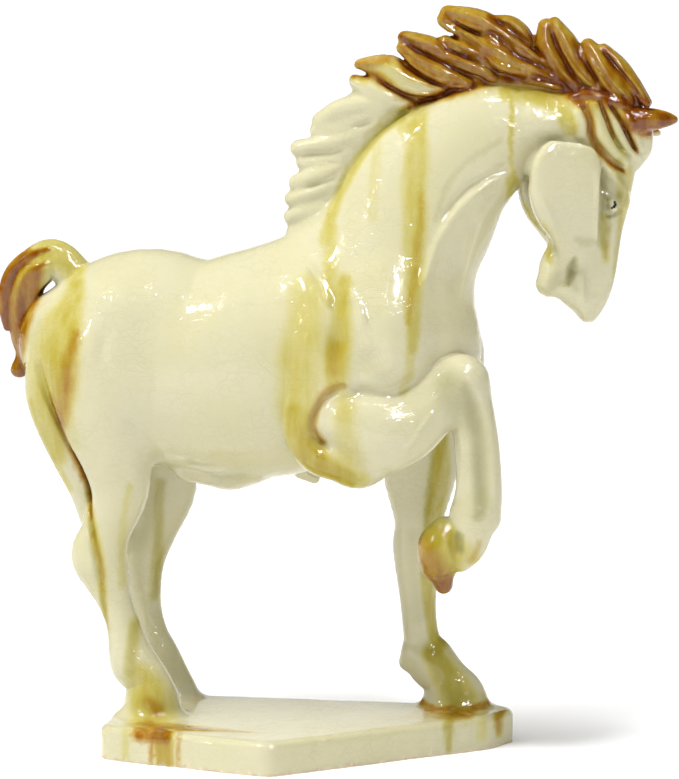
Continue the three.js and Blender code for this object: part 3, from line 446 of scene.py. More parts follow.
# How far the mane's middle has turned to the horse's left by the time it reaches the poll
MANE_LEAN = 24.0
MANE_LENGTH = 440.0

# Locks from tip to root, (forward, up, half-width), and the creases between them, (forward, up)
MANE_LOCKS = [
    [(73, 912, 10), (108, 905, 22), (144, 886, 19), (183, 877, 10)],
    [(130, 936, 9), (155, 915, 17), (186, 899, 17), (219, 889, 9)],
    [(133, 950, 10), (168, 937, 15), (208, 917, 13), (255, 898, 8)],
    [(190, 946, 9), (207, 938, 12), (224, 930, 10), (240, 924, 6)],
    [(188, 975, 11), (226, 946, 15), (270, 921, 22), (348, 887, 8)],
    [(260, 974, 8), (278, 968, 12), (296, 955, 10), (310, 940, 6)],
    [(192, 984, 11), (237, 970, 18), (287, 940, 15), (335, 908, 7)],
    [(326, 966, 11), (329, 936, 17), (346, 906, 18), (371, 882, 8)],
    [(338, 970, 9), (354, 940, 17), (373, 912, 15), (397, 884, 8)],
    [(405, 934, 9), (425, 912, 13), (446, 888, 10), (465, 863, 6)],
    [(384, 940, 10), (398, 917, 18), (417, 889, 18), (441, 866, 8)],
]
MANE_CREASES = [
    [(61, 904), (90, 900), (111, 886), (136, 873), (164, 867), (182, 872), (198, 877)],
    [(126, 925), (140, 910), (154, 902), (173, 891), (187, 888), (212, 888)],
    [(130, 951), (143, 940), (170, 926), (195, 915), (223, 901), (249, 895)],
    [(184, 941), (194, 933), (219, 926), (239, 921)],
    [(188, 958), (209, 951), (228, 940), (242, 925), (257, 908), (267, 901), (312, 896), (342, 890),
     (370, 878)],
    [(192, 982), (206, 969), (232, 959), (260, 954), (275, 940), (294, 924), (322, 912), (340, 900),
     (360, 884)],
    [(253, 977), (267, 969), (289, 954), (309, 938)],
    [(306, 958), (309, 940), (324, 924), (335, 911), (352, 890)],
    [(334, 962), (343, 942), (357, 912), (370, 888)],
    [(366, 945), (373, 926), (387, 908), (400, 889), (404, 883)],
    [(407, 933), (424, 911), (445, 886), (462, 864)],
]


def mane_middle(ahead):
    return MANE_LEAN * min(max(ahead / MANE_LENGTH, 0.0), 1.0)


def add_lock(stations, blend, spread):
    """One lock, from tip to root, on both faces of the mane: (forward, up, half-width)."""
    last = len(stations) - 1
    for face in (-1, 1):
        rows = []
        for i, (ahead, up, half) in enumerate(stations):
            out = spread[0] + (spread[1] - spread[0]) * min(1.6 * i / last, 1.0)
            rows.append((ahead, mane_middle(ahead) + face * out, up, 3 + 0.8 * half, half))
        add_mass(rows, blend)


def shape_mane():
    """A crest along the neck, a softly waved lower fin, and swept-back locks above it."""
    add_mass([
        (8, 0, 700, 13, 28), (22, 0, 744, 13, 38), (50, 0, 800, 13, 42), (86, 3, 852, 13, 36),
        (130, 5, 888, 13, 34), (186, 8, 912, 13, 40), (240, 12, 918, 13, 44), (292, 15, 912, 13, 46),
        (347, 18, 904, 13, 44), (398, 20, 890, 13, 42), (445, 24, 866, 13, 22),
    ], 4)
    fin = [
        [(-21, 682, 10), (1, 690, 13), (23, 705, 11), (38, 729, 6)],
        [(-24, 702, 11), (-6, 712, 13), (18, 723, 11), (40, 749, 6)],
        [(-24, 727, 10), (-4, 734, 11), (20, 744, 11), (45, 765, 6)],
        [(-17, 749, 11), (4, 759, 13), (30, 769, 11), (58, 793, 6)],
        [(-8, 779, 10), (16, 783, 11), (44, 789, 10), (75, 813, 6)],
        [(-15, 797, 11), (16, 802, 13), (51, 812, 11), (93, 835, 6)],
        [(10, 822, 8), (37, 826, 11), (69, 837, 10), (100, 846, 6)],
        [(16, 836, 11), (44, 851, 15), (74, 857, 13), (107, 856, 8)],
        [(67, 890, 11), (91, 879, 17), (116, 868, 14), (141, 860, 6)],
    ]
    for lock in fin:
        add_lock(lock, 8, (5, 12))
    for lock in MANE_LOCKS:
        add_lock(lock, 3, (6, 12))
    for crease in MANE_CREASES:
        add_flank_fold(crease, 4.5, -7, depth=16)
    for lock in MANE_LOCKS:
        for offset, height in ((-0.55, 2.4), (-0.05, -2.6), (0.45, 3.0)):
            path = [(ahead, up + half * offset) for ahead, up, half in lock]
            add_flank_fold(path, 3.0, height, depth=12)
    # Hollows along the fin, each with its width and height
    for path, width, height in (
        ([(56, 828), (76, 832), (98, 839)], 5, -4),
        ([(-17, 790), (14, 790), (42, 791), (62, 799), (76, 812)], 8, -5),
        ([(20, 775), (45, 780), (62, 792)], 5, -3),
        ([(-7, 743), (14, 749), (34, 756), (46, 767)], 4.5, -4),
        ([(-23, 711), (-7, 715), (11, 722), (31, 732), (42, 744)], 8, -5),
    ):
        add_flank_fold(path, width, height, depth=15)


def shape_muscle_lines():
    """The neck's groove and ridges, the folds of the shoulder, and the lines of the legs."""
    add_flank_fold([
        (289, 782), (264, 769), (244, 758), (227, 748), (214, 734), (203, 720), (192, 700),
    ], 6, -5)
    add_flank_fold([
        (262, 757), (236, 738), (216, 718), (200, 695), (188, 672), (180, 650), (174, 628), (170, 606),
    ], 7, 5)
    add_flank_fold([(241, 718), (228, 691), (217, 663), (210, 628), (203, 594)], 11, -4)
    add_flank_fold([(277, 745), (256, 721), (242, 696), (232, 662), (223, 627), (218, 593)], 6, 3)
    near = (NEAR_SIDE,)
    # The shoulder blade's upper edge, the ridge ahead of it, and the flat below that
    add_flank_fold([(3, 648), (24, 628), (38, 604), (46, 578)], 6, 5, near)
    add_flank_fold([(68, 614), (80, 598), (90, 578), (93, 556)], 6, 5, near)
    add_flank_fold([(94, 545), (102, 515), (112, 488)], 21, -12, near)
    # The hollow and the ring above the elbow, and the groove between shoulder and forearm
    add_flank_fold([(57, 580), (56, 547), (57, 520), (56, 494)], 13, -9, near)
    add_flank_fold([
        (64, 476), (51, 469), (37, 458), (26, 441), (23, 427), (27, 409), (37, 395), (51, 386),
    ], 5, -6, near)
    add_flank_fold([(66, 478), (98, 475), (119, 474), (133, 479), (151, 490), (165, 502)], 5, -4, near)
    add_flank_fold([(148, 391), (161, 405), (171, 422), (185, 440), (196, 447)], 3, 2.5, near)
    # The lower foreleg's hollow panel and its rims
    add_flank_fold([(229, 481), (239, 447), (247, 406), (251, 364), (252, 323), (248, 300)], 11, -9, near)
    add_flank_fold([(219, 419), (225, 391), (224, 364), (220, 336), (216, 319)], 4, 3, near)
    add_flank_fold([(222, 271), (223, 253)], 9, -7, near)
    add_flank_fold([(163, 218), (180, 213), (201, 215), (215, 219)], 2.5, -3, near)
    add_flank_fold([(195, 279), (206, 258), (211, 237), (220, 223)], 4, 2.5, near)
    # The rump's crease, which runs down to the hock, and the hollows of the haunch
    add_flank_fold([
        (-376, 508), (-369, 480), (-360, 452), (-350, 424), (-341, 403), (-332, 382), (-322, 365),
        (-312, 347), (-305, 326), (-301, 304), (-299, 276), (-293, 244), (-288, 214), (-285, 180),
    ], 5, -6)
    add_flank_fold([
        (-364, 443), (-355, 425), (-346, 403), (-336, 382), (-324, 361), (-315, 335), (-312, 311),
    ], 4, 2)
    add_flank_fold([(-262, 561), (-272, 526), (-270, 491)], 9, -3)
    add_flank_fold([(-244, 438), (-235, 417), (-229, 396)], 9, -3)


# Where the three standing hooves meet the plinth
HIND_NEAR_HOOF = (-217 * SHARE, -59 * SHARE)
HIND_FAR_HOOF = (-213 * SHARE, 57 * SHARE)
FORE_FAR_HOOF = (200 * SHARE, 63 * SHARE)

BACK_END = HIND_NEAR_HOOF[0] - PLINTH_BEHIND_HOOF
FRONT_END = FORE_FAR_HOOF[0] + PLINTH_AHEAD_OF_HOOF
NEAR_EDGE = -PLINTH_NEAR_REACH
FAR_AT_HIND = HIND_FAR_HOOF[1] + PLINTH_BEYOND_HOOF
FAR_AT_FORE = FORE_FAR_HOOF[1] + PLINTH_BEYOND_HOOF
FAR_WAIST = FAR_AT_FORE - PLINTH_WAIST
MIDDLE = np.array([(BACK_END + FRONT_END) / 2, (NEAR_EDGE + FAR_AT_FORE) / 2, -PLINTH_THICKNESS])
PLINTH_CORNERS = [
    (BACK_END, -PLINTH_NEAR_REACH_AT_BACK),
    (MIDDLE[0] - PLINTH_BEYOND_HOOF, NEAR_EDGE),
    (FRONT_END - PLINTH_BEYOND_HOOF, 0.0),
    (FRONT_END, FAR_WAIST - PLINTH_WAIST),
    (FORE_FAR_HOOF[0] + PLINTH_AHEAD_OF_HOOF / 2, FAR_AT_FORE),
    (FORE_FAR_HOOF[0] - 2 * PLINTH_BEYOND_HOOF, FAR_WAIST),
    (HIND_FAR_HOOF[0] + 2 * PLINTH_BEYOND_HOOF, FAR_WAIST),
    (HIND_FAR_HOOF[0] - PLINTH_BEHIND_HOOF / 2, FAR_AT_HIND),
    (BACK_END, PLINTH_BEYOND_HOOF),
]


def inset_corners(corners, inset):
    """The corners moved inwards, so that every edge shifts by the same inset."""
    corners = np.array(corners, dtype=float)
    moved = []
    for i, corner in enumerate(corners):
        arriving = unit(corner - corners[i - 1])
        leaving = unit(corners[(i + 1) % len(corners)] - corner)
        inwards = np.array([-arriving[1] - leaving[1], arriving[0] + leaving[0]])
        moved.append(corner + inwards * inset / (1 + np.dot(arriving, leaving)))
    return np.array(moved)


def distance_to_outline(flat, corners):
    """Signed distance in the plane to a closed outline, negative inside."""
    nearest = np.full(len(flat), FAR)
    inside = np.zeros(len(flat), dtype=bool)
    for start, end in zip(corners, np.roll(corners, -1, axis=0)):
        edge = end - start
        offset = flat - start
        t = np.clip(offset @ edge / (edge @ edge), 0, 1)
        gap = offset - t[:, None] * edge
        nearest = np.minimum(nearest, np.hypot(gap[:, 0], gap[:, 1]))
        spans = (start[1] > flat[:, 1]) != (end[1] > flat[:, 1])
        height = end[1] - start[1] if end[1] != start[1] else 1e-9
        crossing = start[0] + (flat[:, 1] - start[1]) * edge[0] / height
        inside ^= spans & (flat[:, 0] < crossing)
    return np.where(inside, -nearest, nearest)


def distance_to_plinth(places):
    """The plinth runs on below its underside, where the mesh is cut flat afterwards."""
    core = inset_corners(PLINTH_CORNERS, PLINTH_CORNER_RADIUS)
    x, y, z = places.T
    wave = np.zeros(len(places))
    for share, in_x, in_y, in_z, start in PLINTH_WAVES:
        wave += share * np.sin(in_x * x + in_y * y + in_z * z + start)
    sideways = distance_to_outline(places[:, :2], core) - PLINTH_CORNER_RADIUS + PLINTH_WAVE * wave
    reach = PLINTH_THICKNESS
    upright = np.abs(places[:, 2] + reach) - reach
    a = sideways + PLINTH_EDGE_RADIUS
    b = upright + PLINTH_EDGE_RADIUS
    outside = np.hypot(np.maximum(a, 0), np.maximum(b, 0))
    return np.minimum(np.maximum(a, b), 0) + outside - PLINTH_EDGE_RADIUS


def within(places, low, high):
    """Which of the places lie in a box, where the places run in order of x."""
    first, last = np.searchsorted(places[:, 0], (low[0], high[0]))
    part = places[first:last]
    hit = (part[:, 1] > low[1]) & (part[:, 1] < high[1])
    hit &= (part[:, 2] > low[2]) & (part[:, 2] < high[2])
    return first + np.nonzero(hit)[0]


def distance_to_mass(places, mass):
    nearest = np.full(len(places), FAR, dtype=np.float32)
    power = mass["square"]
    for bar in mass["bars"]:
        chosen = within(places, bar["low"], bar["high"])
        if len(chosen) == 0:
            continue
        offset = places[chosen] - bar["start"].astype(np.float32)
        t = np.clip(offset @ (bar["axis"] / bar["squared"]).astype(np.float32), 0, 1)
        offset -= t[:, None] * bar["axis"].astype(np.float32)
        local = offset @ bar["turn"].T.astype(np.float32)
        start, end = bar["halves"]
        half_across = start[0] + (end[0] - start[0]) * t
        half_deep = start[1] + (end[1] - start[1]) * t
        halves = np.stack([half_across, half_deep, (half_across + half_deep) / 2], axis=1)
        local = np.abs(local) / halves
        if power == 2:
            inner = np.sqrt((local * local).sum(axis=1)) + 1e-6
            slope = np.sqrt(((local / halves) ** 2).sum(axis=1)) / inner + 1e-6
        else:
            inner = (local ** power).sum(axis=1) ** (1 / power) + 1e-6
            slope = np.sqrt(((local ** (power - 1) / halves) ** 2).sum(axis=1))
            slope = slope / inner ** (power - 1) + 1e-6
        nearest[chosen] = np.minimum(nearest[chosen], (inner - 1) / slope)
    return nearest


def height_of_fold(places, fold):
    facing = fold["facing"]
    rows = fold["rows"]
    nearest = np.full(len(places), FAR * FAR)
    level = np.zeros(len(places))
    strength = np.zeros(len(places))
    for i in range(len(rows) - 1):
        start = rows[i]
        axis = rows[i + 1] - start
        run = axis - facing * np.dot(axis, facing)
        offset = places - start
        t = np.clip(offset @ run / max(np.dot(run, run), 1e-9), 0, 1)
        gap = offset - t[:, None] * axis
        out = gap @ facing
        squared = np.maximum((gap * gap).sum(axis=1) - out * out, 0)
        closer = squared < nearest
        nearest[closer] = squared[closer]
        level[closer] = out[closer]
        eased = fold["strength"][i] + t * (fold["strength"][i + 1] - fold["strength"][i])
        strength[closer] = eased[closer]
    fade = strength * np.maximum(1 - (level / fold["depth"]) ** 2, 0)
    return fold["height"] * np.exp(-nearest / fold["width"] ** 2) * fade


def blended(a, b, reach):
    overlap = np.maximum(reach - np.abs(a - b), 0)
    return np.minimum(a, b) - overlap * overlap / (4 * reach)


def figure_distance(places):
    """Distance to the figure alone, negative inside."""
    order = np.argsort(places[:, 0], kind="stable")
    places = places[order].astype(np.float32)
    distance = np.full(len(places), FAR, dtype=np.float32)
    for mass in masses:
        chosen = within(places, mass["low"], mass["high"])
        if len(chosen) == 0:
            continue
        own = distance_to_mass(places[chosen], mass)
        distance[chosen] = blended(distance[chosen], own, mass["blend"])
    for fold in folds:
        chosen = within(places, fold["low"], fold["high"])
        if len(chosen) == 0:
            continue
        distance[chosen] -= height_of_fold(places[chosen], fold)
    result = np.empty_like(distance)
    result[order] = distance
    return result


def distance_at(places):
    """Distance to the whole surface, negative inside."""
    distance = figure_distance(places)
    low = places[:, 2] < HIGHEST_FILLET
    distance[low] = blended(distance[low], distance_to_plinth(places[low]), GLAZE_FILLET)
    return distance


def fill_grid():
    """Distances on a grid: exact near the surface, and only the sign elsewhere."""
    cells = 4
    block = cells * GRID_STEP
    corners = np.array(PLINTH_CORNERS)
    low = np.min([mass["low"] for mass in masses], axis=0)
    high = np.max([mass["high"] for mass in masses], axis=0)
    low = np.minimum(low, [*corners.min(axis=0) - block, -PLINTH_THICKNESS - block])
    high = np.maximum(high, [*corners.max(axis=0) + block, block])
    blocks = np.ceil((high - low) / block).astype(int)
    centres = np.stack(np.meshgrid(*[np.arange(n) for n in blocks], indexing="ij"), axis=-1)
    rough = distance_at(low + (centres.reshape(-1, 3) + 0.5) * block).reshape(blocks)
    near = np.abs(rough) < block * 1.1 + 1.5 * GRID_STEP

    def spread(per_block):
        return np.repeat(np.repeat(np.repeat(per_block, cells, 0), cells, 1), cells, 2)

    values = np.ones(blocks * cells + 1, dtype=np.float32)
    values[:-1, :-1, :-1] = spread(np.where(rough < 0, -1, 1))
    exact = np.zeros(values.shape, dtype=bool)
    near = spread(near)
    for dx in (0, 1):
        for dy in (0, 1):
            for dz in (0, 1):
                exact[dx:dx + near.shape[0], dy:dy + near.shape[1], dz:dz + near.shape[2]] |= near
    places = low + np.argwhere(exact) * GRID_STEP
    values[exact] = distance_at(places)
    return low, values


def net_over(low, values):
    """A closed net of quads over the surface: a corner in each crossed cell."""
    inside = values < 0
    shape = np.array(values.shape) - 1
    count = np.zeros(shape, dtype=np.int8)
    corner_steps = [(i & 1, i >> 1 & 1, i >> 2 & 1) for i in range(8)]
    for dx, dy, dz in corner_steps:
        count += inside[dx:dx + shape[0], dy:dy + shape[1], dz:dz + shape[2]]
    cells = np.argwhere((count > 0) & (count < 8))
    number = np.full(shape, -1, dtype=np.int32)
    number[tuple(cells.T)] = np.arange(len(cells))
    total = np.zeros((len(cells), 3))
    hits = np.zeros(len(cells))
    for corner in corner_steps:
        for axis in range(3):
            if corner[axis] == 0:
                start = np.array(corner)
                end = start.copy()
                end[axis] = 1
                a = values[tuple((cells + start).T)]
                b = values[tuple((cells + end).T)]
                crossed = (a < 0) != (b < 0)
                t = a[crossed] / (a[crossed] - b[crossed])
                total[crossed] += start + t[:, None] * (end - start)
                hits[crossed] += 1
    places = low + GRID_STEP * (cells + total / hits[:, None])
    quads = []
    for axis in range(3):
        side_a, side_b = [(1, 2), (2, 0), (0, 1)][axis]
        ahead = np.roll(inside, -1, axis=axis)
        differs = inside != ahead
        index = [slice(1, -1)] * 3
        index[axis] = slice(0, -1)
        nodes = np.argwhere(differs[tuple(index)])
        nodes += [0 if a == axis else 1 for a in range(3)]
        step_a = np.eye(3, dtype=int)[side_a]
        step_b = np.eye(3, dtype=int)[side_b]
        ring = [nodes - step_a - step_b, nodes - step_b, nodes, nodes - step_a]
        quad = np.stack([number[tuple(corner.T)] for corner in ring], axis=1)
        outwards = inside[tuple(nodes.T)]
        quads.append(np.where(outwards[:, None], quad, quad[:, ::-1]))
    return places, np.vstack(quads)


def outer_only(places, quads):
    """Drops what is shut in between masses, and keeps the largest skin."""
    leader = np.arange(len(places))
    while True:
        lowest = leader[quads].min(axis=1)
        before = leader.copy()
        for corner in range(4):
            np.minimum.at(leader, quads[:, corner], lowest)
        leader = leader[leader]
        if np.array_equal(before, leader):
            break
    main = np.bincount(leader[quads[:, 0]]).argmax()
    quads = quads[leader[quads[:, 0]] == main]
    used, renumbered = np.unique(quads, return_inverse=True)
    return places[used], renumbered.reshape(quads.shape)


def slope_at(places):
    """Which way is outwards at each place, and how steeply the distance grows there."""
    steps = [places + sign * step for step in np.eye(3) * SLOPE_REACH for sign in (1, -1)]
    found = distance_at(np.vstack(steps)).reshape(3, 2, len(places))
    slope = (found[:, 0] - found[:, 1]).T / (2 * SLOPE_REACH)
    steepness = np.maximum(np.linalg.norm(slope, axis=1, keepdims=True), 1e-3)
    return slope / steepness, steepness[:, 0]


def settled(places, rounds=2):
    """The places moved onto the surface, and which way is outwards there."""
    for _ in range(rounds):
        outwards, steepness = slope_at(places)
        step = distance_at(places) / np.maximum(steepness, 0.5)
        places = places - outwards * np.clip(step, -GRID_STEP, GRID_STEP)[:, None]
    return places, outwards


def make_horse():
    shape_body()
    shape_hind_legs()
    shape_forelegs()
    shape_belly()
    shape_head()
    shape_forelock()
    shape_tail()
    shape_mane()
    shape_muscle_lines()
    places, quads = outer_only(*net_over(*fill_grid()))

    mesh = bpy.data.meshes.new("horse_glazed")
    mesh.from_pydata(places.tolist(), [], quads.tolist())
    horse = bpy.data.objects.new("horse_glazed", mesh)
    bpy.context.scene.collection.objects.link(horse)

    # Fewer facets, thinned evenly all over
    even = horse.vertex_groups.new(name="even")
    even.add(range(len(places)), EVEN_WEIGHT, "REPLACE")
    thin = horse.modifiers.new("fewer_facets", "DECIMATE")
    thin.ratio = MOST_TRIANGLES / (2 * len(quads))
    thin.vertex_group = "even"
    thin.vertex_group_factor = EVENNESS
    graph = bpy.context.evaluated_depsgraph_get()
    thinned = bpy.data.meshes.new_from_object(horse.evaluated_get(graph))
    horse.modifiers.remove(thin)
    horse.vertex_groups.remove(even)
    horse.data = thinned
    bpy.data.meshes.remove(mesh)

    # A flat underside
    work = bmesh.new()
    work.from_mesh(thinned)
    everything = work.verts[:] + work.edges[:] + work.faces[:]
    bmesh.ops.bisect_plane(
        work, geom=everything, plane_co=(0, 0, -PLINTH_THICKNESS), plane_no=(0, 0, 1), clear_inner=True)
    rim = [edge for edge in work.edges if edge.is_boundary]
    filled = bmesh.ops.edgeloop_fill(work, edges=rim)
    bmesh.ops.triangulate(work, faces=filled["faces"])
    bmesh.ops.recalc_face_normals(work, faces=work.faces)
    work.to_mesh(thinned)
    work.free()

    places = np.empty(len(thinned.vertices) * 3)
    thinned.vertices.foreach_get("co", places)
    places = places.reshape(-1, 3)
    upper = places[:, 2] > -PLINTH_THICKNESS + 0.05
    outwards = np.zeros_like(places)
    outwards[:, 2] = -1
    places[upper], outwards[upper] = settled(places[upper])
    paint_glaze(thinned, places, outwards)
    thinned.vertices.foreach_set("co", ((places - MIDDLE) * MM).ravel())
    thinned.polygons.foreach_set("use_smooth", [True] * len(thinned.polygons))
    thinned.update()
    return horse


# Coloured glaze, brushed on in strokes. Each has a colour, its places, the side of the
# figure it lies on, how dense it is and how softly its edge fades. The olive strokes are
# mostly painted shade, laid in hollows, creases and on faces turned from the light.
STROKE_DEPTH = 9.0
STROKE_WANDER = 0.27
STROKE_OVERLAP = 0.3
FACES_AWAY = 0.4
FADES_TURNING = 0.3
COLOURINGS = ("straw", "amber", "olive_tint_and_shade")
strokes = []


def brush(colour, path, density, soft=0.5, sides=(NEAR_SIDE, FAR_SIDE), reach=SEEK_REACH):
    """A stroke along (forward, up, half-width) places on the sides of the figure."""
    for side in sides:
        rows = laid_on([(ahead, 0, up, half) for ahead, up, half in path], side, distance_at, reach)
        strokes.append((colour, rows, side, density, soft))


def brush_face(colour, path, density, soft=0.5):
    """A stroke along (ahead, up, half-width) places on both sides of the head."""
    places = on_head([(ahead, 0, up, half) for ahead, up, half in path])
    for sign in (1, -1):
        rows = laid_on(places, face_side(sign), distance_at)
        strokes.append((colour, rows, face_side(sign), density, soft))


def brush_body():
    near = (NEAR_SIDE,)
    # Runs down the neck from the mane
    brush("straw", [
        (155, 857, 11), (155, 799, 15), (155, 731, 15), (157, 663, 13), (158, 594, 10), (159, 530, 6),
    ], 0.85, 0.6)
    brush("straw", [(164, 840, 3), (164, 760, 4), (161, 690, 5), (157, 620, 5), (152, 570, 4)], 0.8, 0.7)
    brush("amber", [(165, 740, 3), (163, 690, 4), (159, 642, 4), (155, 600, 4), (152, 566, 3)], 0.35, 0.9)
    brush("straw", [(282, 870, 3), (284, 826, 3), (284, 779, 3), (288, 751, 6)], 0.9)
    brush("straw", [(97, 829, 7), (98, 771, 8), (96, 709, 7)], 0.25)
    brush("straw", [
        (146, 852, 6), (122, 837, 6), (99, 818, 6), (68, 779, 7), (46, 738, 8), (29, 676, 8),
    ], 0.9)
    brush("straw", [(37, 690, 8), (41, 635, 9), (46, 593, 8)], 0.7, 0.8)
    brush("straw", [(275, 878, 11), (303, 873, 11), (330, 868, 11), (350, 852, 11), (364, 830, 10)], 1.1)
    brush("straw", [(125, 837, 8), (143, 829, 11), (160, 826, 8)], 0.8)
    # Painted shade along the neck, above its groove
    brush("olive_tint_and_shade", [
        (270, 813, 4), (249, 799, 4), (229, 786, 4), (208, 765, 4), (194, 737, 4), (182, 703, 4),
    ], 0.2)
    # The shoulder, the pouch and the fold round the elbow
    brush("straw", [(14, 604, 24), (12, 554, 25), (7, 498, 26), (-1, 436, 24)], 0.6, 0.5, near)
    brush("straw", [(8, 540, 22), (3, 498, 24), (-3, 450, 22)], 0.75, 0.9, near)
    brush("straw", [(-10, 538, 4), (-18, 500, 4), (-21, 450, 4), (-14, 428, 4)], 0.6, 0.8, near)
    brush("straw", [
        (-1, 438, 19), (6, 408, 20), (20, 380, 20), (42, 362, 19), (70, 352, 15),
    ], 1.5, 0.45, near)
    brush("amber", [(6, 410, 14), (24, 382, 14), (46, 362, 12)], 0.2, 0.9, near)
    brush("straw", [(62, 620, 9), (60, 575, 12), (58, 530, 15)], 1.2, 0.7, near)
    brush("straw", [(56, 540, 15), (55, 515, 17), (54, 486, 14)], 1.2, 0.7, near)
    brush("amber", [(56, 530, 8), (52, 500, 10)], 0.3, 0.9, near)
    brush("straw", [(43, 362, 17), (70, 354, 16), (88, 352, 10)], 0.9, 0.8, near)
    # Painted shade in the groove round the elbow
    brush("olive_tint_and_shade", [
        (64, 481, 5), (51, 476, 5), (37, 465, 5), (27, 447, 5), (25, 423, 5), (37, 402, 5),
    ], 0.2, 0.6, near)
    brush("amber", [
        (64, 481, 4), (51, 476, 5), (37, 465, 6), (27, 447, 6), (25, 423, 6), (37, 402, 5),
    ], 0.75, 0.7, near)
    brush("straw", [(68, 459, 12), (71, 417, 14), (74, 360, 18)], 0.6, 0.8, near)
    # Painted shade on the hollowed flat below the ridge ahead of the blade
    brush("olive_tint_and_shade", [(100, 520, 14), (112, 495, 14)], 0.2, 1.0, near)
    brush("straw", [(156, 541, 6), (155, 500, 6), (145, 472, 6)], 0.45, 0.5, near)
    brush("straw", [(20, 630, 20), (14, 556, 24), (8, 480, 22), (30, 390, 18)], 0.5, 0.6, (FAR_SIDE,))
    # The rump, with a brown run into the crease that leads to the hock
    brush("straw", [
        (-322, 590, 16), (-341, 537, 27), (-354, 480, 30), (-358, 420, 24), (-352, 367, 14),
    ], 1.1, 0.8)
    brush("straw", [(-308, 559, 8), (-316, 502, 10), (-324, 446, 10), (-320, 389, 10)], 0.35, 0.8)
    brush("straw", [
        (-322, 556, 10), (-328, 516, 16), (-336, 481, 20), (-342, 448, 19), (-343, 416, 12),
    ], 1.2, 1.0)
    brush("amber", [
        (-312, 545, 5), (-318, 510, 8), (-324, 480, 10), (-330, 450, 10), (-335, 420, 8),
    ], 0.9, 1.0)
    brush("amber", [
        (-352, 452, 4), (-343, 420, 5), (-333, 392, 5), (-323, 363, 5), (-313, 338, 4), (-304, 310, 3),
        (-300, 280, 2),
    ], 1.1, 0.9)
    brush("straw", [
        (-305, 310, 5), (-298, 283, 6), (-290, 248, 6), (-284, 205, 6), (-282, 162, 5), (-280, 119, 4),
    ], 1.5, 0.7)
    brush("amber", [(-296, 262, 2), (-289, 238, 3), (-284, 205, 3), (-283, 175, 2)], 0.4, 0.9)
    # Painted shade down the crease that leads to the hock
    brush("olive_tint_and_shade", [(-298, 290, 4), (-290, 248, 4), (-284, 205, 4), (-282, 162, 4), (-276, 90, 4)], 0.25)
    brush("straw", [(-384, 440, 8), (-372, 392, 9), (-355, 351, 8), (-335, 318, 6)], 0.9, 0.8)


